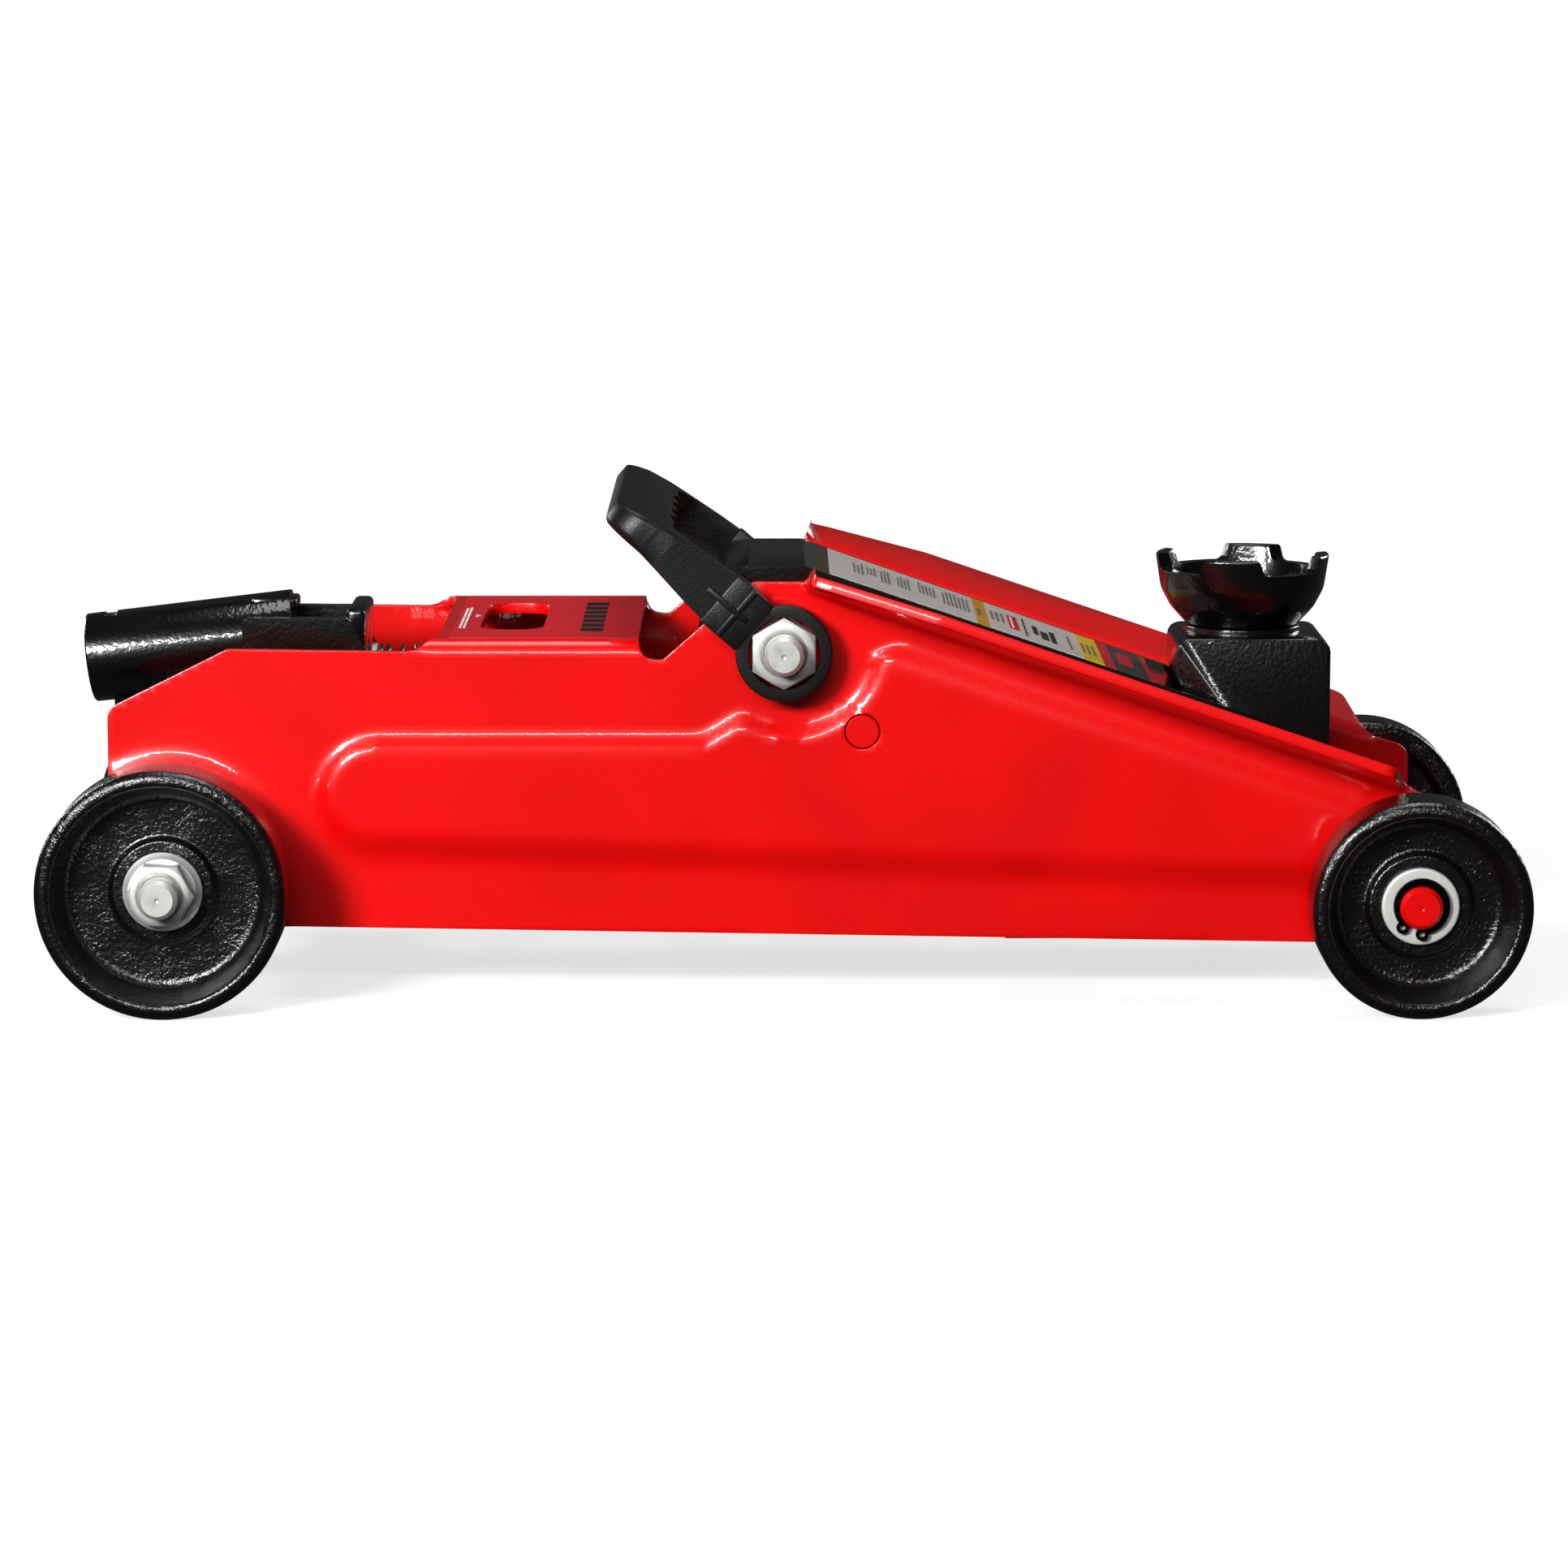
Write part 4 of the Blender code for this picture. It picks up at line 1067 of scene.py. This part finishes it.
def gap_bar(turn):
    """A long bar whose section is the gap between two lugs, narrow at the bottom."""
    section = rounded(
        [
            (-0.0125, RIM_TOP + 0.002, 0),
            (-0.0099, RIM_LOW, 0.0022),
            (0.0099, RIM_LOW, 0.0022),
            (0.0125, RIM_TOP + 0.002, 0),
        ]
    )
    bar = plate(section, -0.035, 0.035)
    return shift(bar, Matrix.Translation(SADDLE_MIDDLE) @ Matrix.Rotation(turn, 4, "Z"))


saddle = united(saddle_bowl(), gap_bar(math.radians(45)), operation="DIFFERENCE")
saddle = united(saddle, gap_bar(math.radians(-45)), operation="DIFFERENCE")
break_edges(saddle, 0.55 * MM, segments=3, angle=42)
turn = Matrix.Translation(SADDLE_MIDDLE) @ Matrix.Rotation(SADDLE_TURN, 4, "Z")
shift(saddle, turn @ Matrix.Translation(-SADDLE_MIDDLE))
piece("saddle_cup", saddle, BLACK, "saddle", ["saddle"], sharp=40)
print("the saddle is cut")

# %% [markdown]
# ## Softened solids
# The post, the arm, the handle socket and the hydraulic unit already have their shape. What they lack is
# the round on every edge that forging, welding and thick paint leave. A merged copy of each solid takes
# that round. The post is forged, so its shoulders are chamfered far more than its other edges.

# %% The post under the saddle


def on_shoulder(edge):
    """True of an edge round the post's top that lies outside the saddle's seat."""
    low = min(vert.co.z for vert in edge.verts)
    outside = all(abs(v.co.y) > 0.0222 or not 0.1215 < v.co.x < 0.1665 for v in edge.verts)
    return low > 0.1040 and outside


post = copy_of("saddle_base")
shoulders = [e for e in post.edges if e.is_manifold and e.calc_face_angle(0) > 0.5 and on_shoulder(e)]
bevel_edges(post, shoulders, 3.6 * MM, 2)
break_edges(post, 0.9 * MM, segments=3, angle=28)
piece("saddle_post", post, BLACK, "saddle_base", ["saddle_base"], sharp=40)
print("the post has its shoulders")

# %% [markdown]
# The other solids differ only in their paint, their body and how large the round on their edges is, so a
# table and one loop make them all.

# %% The arm, the socket and the small castings
SOFTENED = {
    "lift_arm": (BLACK, "lift_arm", "black_enamel", 1.4 * MM),
    "handle_socket": (BLACK, "handle_socket", "black_enamel", 0.8 * MM),
    "power_unit": (BLACK, "chassis", "black_enamel", 0.8 * MM),
    "link_rod_near": (BLACK, "link_rods", "black_enamel", 0.5 * MM),
    "link_rod_far": (BLACK, "link_rods", "black_enamel", 0.5 * MM),
    "ram_head": (STEEL, "ram", "bright_steel", 0.6 * MM),
}
for node, (material, body, slot, width) in SOFTENED.items():
    soft = break_edges(copy_of(node), width, segments=3, angle=35)
    made = piece(node + "_finished", soft, material, body, [node], sharp=40)
    print(node, len(made.data.polygons), "faces")

# %% [markdown]
# ## Springs
# A spring's wire is round, so it is a helix with a round bevel. The pump spring shows between the socket
# and the frame. It is ground flat at both ends in the real pump, so its first and last turn lie close.

# %% The pump spring
POINTS_PER_TURN = 28


def coil(name, start, end, mean_radius, wire, turns, closed_turns=1.0):
    """A helix along X. Its end turns lie close together, the others are evenly spaced."""
    curve = bpy.data.curves.new(name, "CURVE")
    curve.dimensions = "3D"
    curve.bevel_depth = wire / 2
    curve.bevel_resolution = 3
    curve.use_fill_caps = True
    total = int(turns * POINTS_PER_TURN)
    low, high = start.x + wire / 2, end.x - wire / 2
    dead = wire * closed_turns
    turn_marks = [0, closed_turns, turns - closed_turns, turns]
    spline = curve.splines.new("POLY")
    spline.points.add(total)
    for index in range(total + 1):
        turned = index / POINTS_PER_TURN
        x = np.interp(turned, turn_marks, [low, low + dead, high - dead, high])
        angle = math.tau * turned
        across, up = mean_radius * math.cos(angle), mean_radius * math.sin(angle)
        spline.points[index].co = (x, across, start.z + up, 1)
    helper = bpy.data.objects.new(name, curve)
    bpy.context.scene.collection.objects.link(helper)
    graph = bpy.context.evaluated_depsgraph_get()
    bm = bmesh.new()
    bm.from_mesh(helper.evaluated_get(graph).to_mesh())
    bpy.data.objects.remove(helper)
    bpy.data.curves.remove(curve)
    bmesh.ops.remove_doubles(bm, verts=bm.verts, dist=0.005 * MM)
    bmesh.ops.recalc_face_normals(bm, faces=bm.faces)
    return bm


low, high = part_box("pump_spring")
middle_z = (low[2] + high[2]) / 2
ends = [Vector((x, 0, middle_z)) for x in (low[0], high[0])]
spring = coil("pump_spring_wound", *ends, 7.7 * MM, 1.4 * MM, 10)
spring = piece("pump_spring_wound", spring, WIRE, "chassis", ["pump_spring"], 60)
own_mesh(spring)
print("spring:", len(spring.data.polygons), "faces")

# %% [markdown]
# ## Labels
# Two vinyl labels are stuck on: a long one down the arm and a red panel on the web. A label is a very
# thin body, so each printed area is a sheet of film a tenth of a millimetre thick, and the print lies on
# it. What is printed is generic: bars for lines of text, plain boxes for marks and a small triangle.

# %% Film on a plane


def film(patches, origin, along, across):
    """Thin closed sheets from (u0, u1, v0, v1, level) patches on a plane."""
    up = along.cross(across).normalized()
    frame_of = Matrix((along, across, up)).transposed().to_4x4()
    bm = bmesh.new()
    for u0, u1, v0, v1, level in patches:
        base = (0.06 + 0.10 * level) * MM
        size = Matrix.Diagonal((u1 - u0, v1 - v0, 0.09 * MM, 1))
        place = Matrix.Translation(((u0 + u1) / 2, (v0 + v1) / 2, base))
        bmesh.ops.create_cube(bm, size=1, matrix=Matrix.Translation(origin) @ frame_of @ place @ size)
    return bm


def text_lines(rng, u0, u1, lines, v0, v1, level=2, fill=0.38):
    """Rows of short bars that stand for small print. The rows run across the label."""
    pitch = (u1 - u0) / lines
    bars = []
    for line in range(lines):
        start = u0 + pitch * line
        place, end = v0, v0 + (v1 - v0) * rng.uniform(0.72, 1.0)
        while place < end - 0.8 * MM:
            word = min(rng.uniform(1.4, 4.2) * MM, end - place)
            bars.append((start, start + pitch * fill, place, place + word, level))
            place += word + 0.55 * MM
    return bars


# %% [markdown]
# The arm's label begins at the arm's bend and narrows with the arm. Bands of film make its areas, and
# bars of a random length stand for the words of its small print.

# %% The label on the arm
ARM_BEND = Vector((0.0060, 0, 0.1293))
ARM_TIP = Vector((0.1195, 0, 0.0905))
LABEL_HALF = 34.6 * MM
LABEL_TAPER = 0.052
arm_along = (ARM_TIP - ARM_BEND).normalized()
ACROSS = Vector((0, 1, 0))


def label_half(u):
    """Half of the label's width: it narrows with the arm."""
    return LABEL_HALF - LABEL_TAPER * u


def band(u0, u1, level=0):
    """A full-width area, cut in short lengths so that it follows the label's taper."""
    count = max(1, round((u1 - u0) / (3 * MM)))
    cuts = np.linspace(u0, u1, count + 1)
    halves = [label_half((a + b) / 2) for a, b in zip(cuts, cuts[1:])]
    return [(a, b, -half, half, level) for a, b, half in zip(cuts, cuts[1:], halves)]


# Rows of small print: where along the label they start and end, how many lines, and where across it, as
# shares of the half width.
SMALL_PRINT = [
    (0.0165, 0.0205, 3, -0.30, 0.75),
    (0.0210, 0.0245, 3, -0.05, 0.72),
    (0.0255, 0.0290, 3, -0.35, 0.85),
    (0.0310, 0.0355, 4, -0.25, 0.80),
    (0.0380, 0.0440, 5, -0.15, 0.85),
    (0.0458, 0.0550, 7, -0.40, 0.75),
    (0.0615, 0.0668, 3, -0.30, 0.60),
    (0.0868, 0.0885, 1, -0.60, 0.50),
    (0.0912, 0.0965, 3, -0.50, 0.35),
    (0.0570, 0.0594, 1, -0.30, 0.30),
]
BOLD_BARS = [
    (0.0722, 0.0727, -0.75, 0.65),
    (0.0752, 0.0768, -0.35, 0.30),
    (0.0776, 0.0800, -0.55, 0.05),
    (0.0808, 0.0824, -0.60, 0.25),
]
RED_BOXES = [(0.0672, 0.0704, -0.55, 0.55), (0.1032, 0.1078, -0.35, 0.45)]
HALF = 30 * MM

rng = random.Random(7)
small = [text_lines(rng, u0, u1, count, a * HALF, b * HALF) for u0, u1, count, a, b in SMALL_PRINT]
boxes = [(u0, u1, a * HALF, b * HALF, 1.2) for u0, u1, a, b in RED_BOXES]
PRINT = {
    "charcoal": band(0.0006, 0.0083) + band(0.1009, 0.1120),
    "grey": band(0.0083, 0.0561) + band(0.0602, 0.0905),
    "ochre": band(0.0561, 0.0602),
    "yellow": band(0.0905, 0.0972),
    "red": band(0.0972, 0.1009) + band(0.1120, 0.1136) + boxes,
    "ink": [(u0, u1, a * HALF, b * HALF, 2) for u0, u1, a, b in BOLD_BARS],
    "print": [bar for row in small for bar in row],
    "white": text_lines(rng, 0.0680, 0.0696, 1, -0.45 * HALF, 0.45 * HALF, 2.6),
}
for tone, patches in PRINT.items():
    sheet = film(patches, ARM_BEND, arm_along, ACROSS)
    piece(f"arm_label_{tone}", sheet, FILM[tone], "lift_arm")
print("arm label:", {tone: len(patches) for tone, patches in PRINT.items()})

# %% [markdown]
# The web's panel is one rectangle of film with the web's hole cut out of it. Both start as flat outlines
# in x and z, like every other plate here, and a swap of two axes lays them down.

# %% The panel on the web
WEB_TOP = Vector((0, 0, WEB_TOP_Z + 0.02 * MM))
PANEL_X = (-0.1005, -0.0438)
PANEL_HALF = 0.0525
ALONG = Vector((1, 0, 0))
LAID_DOWN = Matrix(((1, 0, 0, 0), (0, 0, 1, 0), (0, 1, 0, 0), (0, 0, 0, 1)))


def laid(outline, low, high):
    """A plate whose outline is in (x, y) and whose thickness runs up."""
    bm = shift(plate(outline, low, high), LAID_DOWN)
    bmesh.ops.recalc_face_normals(bm, faces=bm.faces)
    return bm


def oblong(ends, half, radius):
    corners = ((ends[0], -half), (ends[1], -half), (ends[1], half), (ends[0], half))
    return rounded([(x, y, radius) for x, y in corners])


sheet = laid(oblong(PANEL_X, PANEL_HALF, 1 * MM), WEB_TOP_Z, WEB_TOP_Z + 0.10 * MM)
hole = laid(oblong(HOLE_X, HOLE_HALF, 8 * MM), WEB_TOP_Z - 5 * MM, WEB_TOP_Z + 5 * MM)
panel = united(sheet, hole, operation="DIFFERENCE")
piece("web_label_panel", panel, FILM["rose"], "chassis")
white = text_lines(rng, -0.0990, -0.0966, 2, -0.029, 0.029, 0.6, 0.62)
triangle = laid([(-0.0952, -0.0035), (-0.0952, 0.0035), (-0.0935, 0.0)], 0.1094, 0.10952)
marks = film(white, WEB_TOP, ALONG, ACROSS)
mesh = bpy.data.meshes.new("triangle")
triangle.to_mesh(mesh)
triangle.free()
marks.from_mesh(mesh)
piece("web_label_white", marks, FILM["white"], "chassis")
starts = [(-37.5 + 10.5 * index) * MM for index in range(7)]
blocks = film([(-0.0617, -0.0549, y, y + 8.2 * MM, 0.6) for y in starts], WEB_TOP, ALONG, ACROSS)
piece("web_label_ink", blocks, FILM["ink"], "chassis")
print("the web's panel is on")

# %% [markdown]
# ## Solids that keep their shape
# These are small or hidden and already right, so they only take their finish. All that isn't named here
# is zinc plated.

# %% Finish the plain solids
FINISH = {
    RUBBER: ["filler_plug"],
    CHROME: ["ram", "pump_plunger"],
    WIRE: ["return_spring_near", "return_spring_far"],
    CLIP: [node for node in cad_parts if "pin_clip" in node],
}
named = {node for nodes in FINISH.values() for node in nodes}
FINISH[ZINC] = [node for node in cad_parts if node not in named]
for material, nodes in FINISH.items():
    for node in nodes:
        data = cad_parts[node].data
        data.materials.clear()
        data.materials.append(material)
        data.shade_smooth()
print({material.name: len(nodes) for material, nodes in FINISH.items()})

# %% [markdown]
# ## Floor, light and camera
# The jack stands on a plain pale floor in studio light. One fairly small lamp high on the left gives the
# short shadows, a long strip in front draws the bright lines on round pieces, a broad one lights the
# floor, and two weaker ones behind it keep the other sides readable. The camera is a long lens low in
# front of the side, level with the jack.

# %% Floor
floor_mesh = bmesh.new()
bmesh.ops.create_grid(floor_mesh, x_segments=1, y_segments=1, size=0.5)
bmesh.ops.scale(floor_mesh, vec=(0.72, 0.56, 1), verts=floor_mesh.verts)
floor_data = bpy.data.meshes.new("floor")
floor_mesh.to_mesh(floor_data)
floor_mesh.free()
FLOOR_MATERIAL, *_ = new_material(
    "lit_white_board",
    Base_Color=colour("B0B0B0"),
    Roughness=1.0,
    Specular_IOR_Level=0.0,
    Emission_Color=colour("FFFFFF"),
    Emission_Strength=0.70,
)
floor_data.materials.append(FLOOR_MATERIAL)
floor = bpy.data.objects.new("floor", floor_data)
bpy.context.scene.collection.objects.link(floor)
floor.visible_diffuse = False
floor.visible_glossy = False
print("floor:", [round(value, 3) for value in floor.dimensions])

# %% [markdown]
# Every lamp is a rectangle that points at the middle of the jack. The world is white where the camera
# looks straight at it, and almost dark for every other ray, so that black enamel stays black.

# %% Light
AIM = Vector((0, 0, 0.06))


def lamp(name, place, width, height, power):
    """A rectangular area lamp that points at the middle of the jack."""
    data = bpy.data.lights.new(name, "AREA")
    data.shape = "RECTANGLE"
    data.size = width
    data.size_y = height
    data.energy = power
    made = bpy.data.objects.new(name, data)
    made.location = place
    made.rotation_euler = (AIM - Vector(place)).to_track_quat("-Z", "Y").to_euler()
    bpy.context.scene.collection.objects.link(made)
    return made


LAMPS = [
    lamp("key", (-0.95, -1.53, 0.80), 0.42, 0.42, 42),
    lamp("strip", (-0.25, -1.50, 0.80), 1.00, 0.09, 9),
    lamp("overhead", (0.10, 0.00, 1.60), 0.8, 0.8, 9),
    lamp("rear_right", (1.20, 1.20, 0.55), 0.7, 0.7, 9),
    lamp("rear_left", (-1.20, 1.20, 0.55), 0.7, 0.7, 9),
]

world = bpy.data.worlds.new("studio")
world.use_nodes = True
bpy.context.scene.world = world
tree = world.node_tree
background = tree.nodes["Background"]
background.inputs["Color"].default_value = (1, 1, 1, 1)
seen = add(tree, "LightPath").outputs["Is Camera Ray"]
tree.links.new(span(tree, seen, 0, 1, 0.035, 1.05), background.inputs["Strength"])
bpy.context.scene.view_settings.view_transform = "Standard"
print("lamps:", [made.name for made in LAMPS])

# %% [markdown]
# The camera stands 1.7 m in front of the side and looks slightly down.

# %% Camera
LENS = 126.4
CAMERA_PLACE = (-0.0046, -1.6934, 0.3208)
LOOKS_DOWN = math.radians(8.865)
LOOKS_RIGHT = math.radians(0.162)
camera_data = bpy.data.cameras.new("camera")
camera_data.lens = LENS
camera_data.sensor_width = 36
camera_data.clip_start = 0.05
camera = bpy.data.objects.new("camera", camera_data)
camera.location = CAMERA_PLACE
camera.rotation_euler = (math.pi / 2 - LOOKS_DOWN, 0, -LOOKS_RIGHT)
bpy.context.scene.collection.objects.link(camera)
bpy.context.scene.camera = camera
print("camera:", CAMERA_PLACE, "lens", LENS)
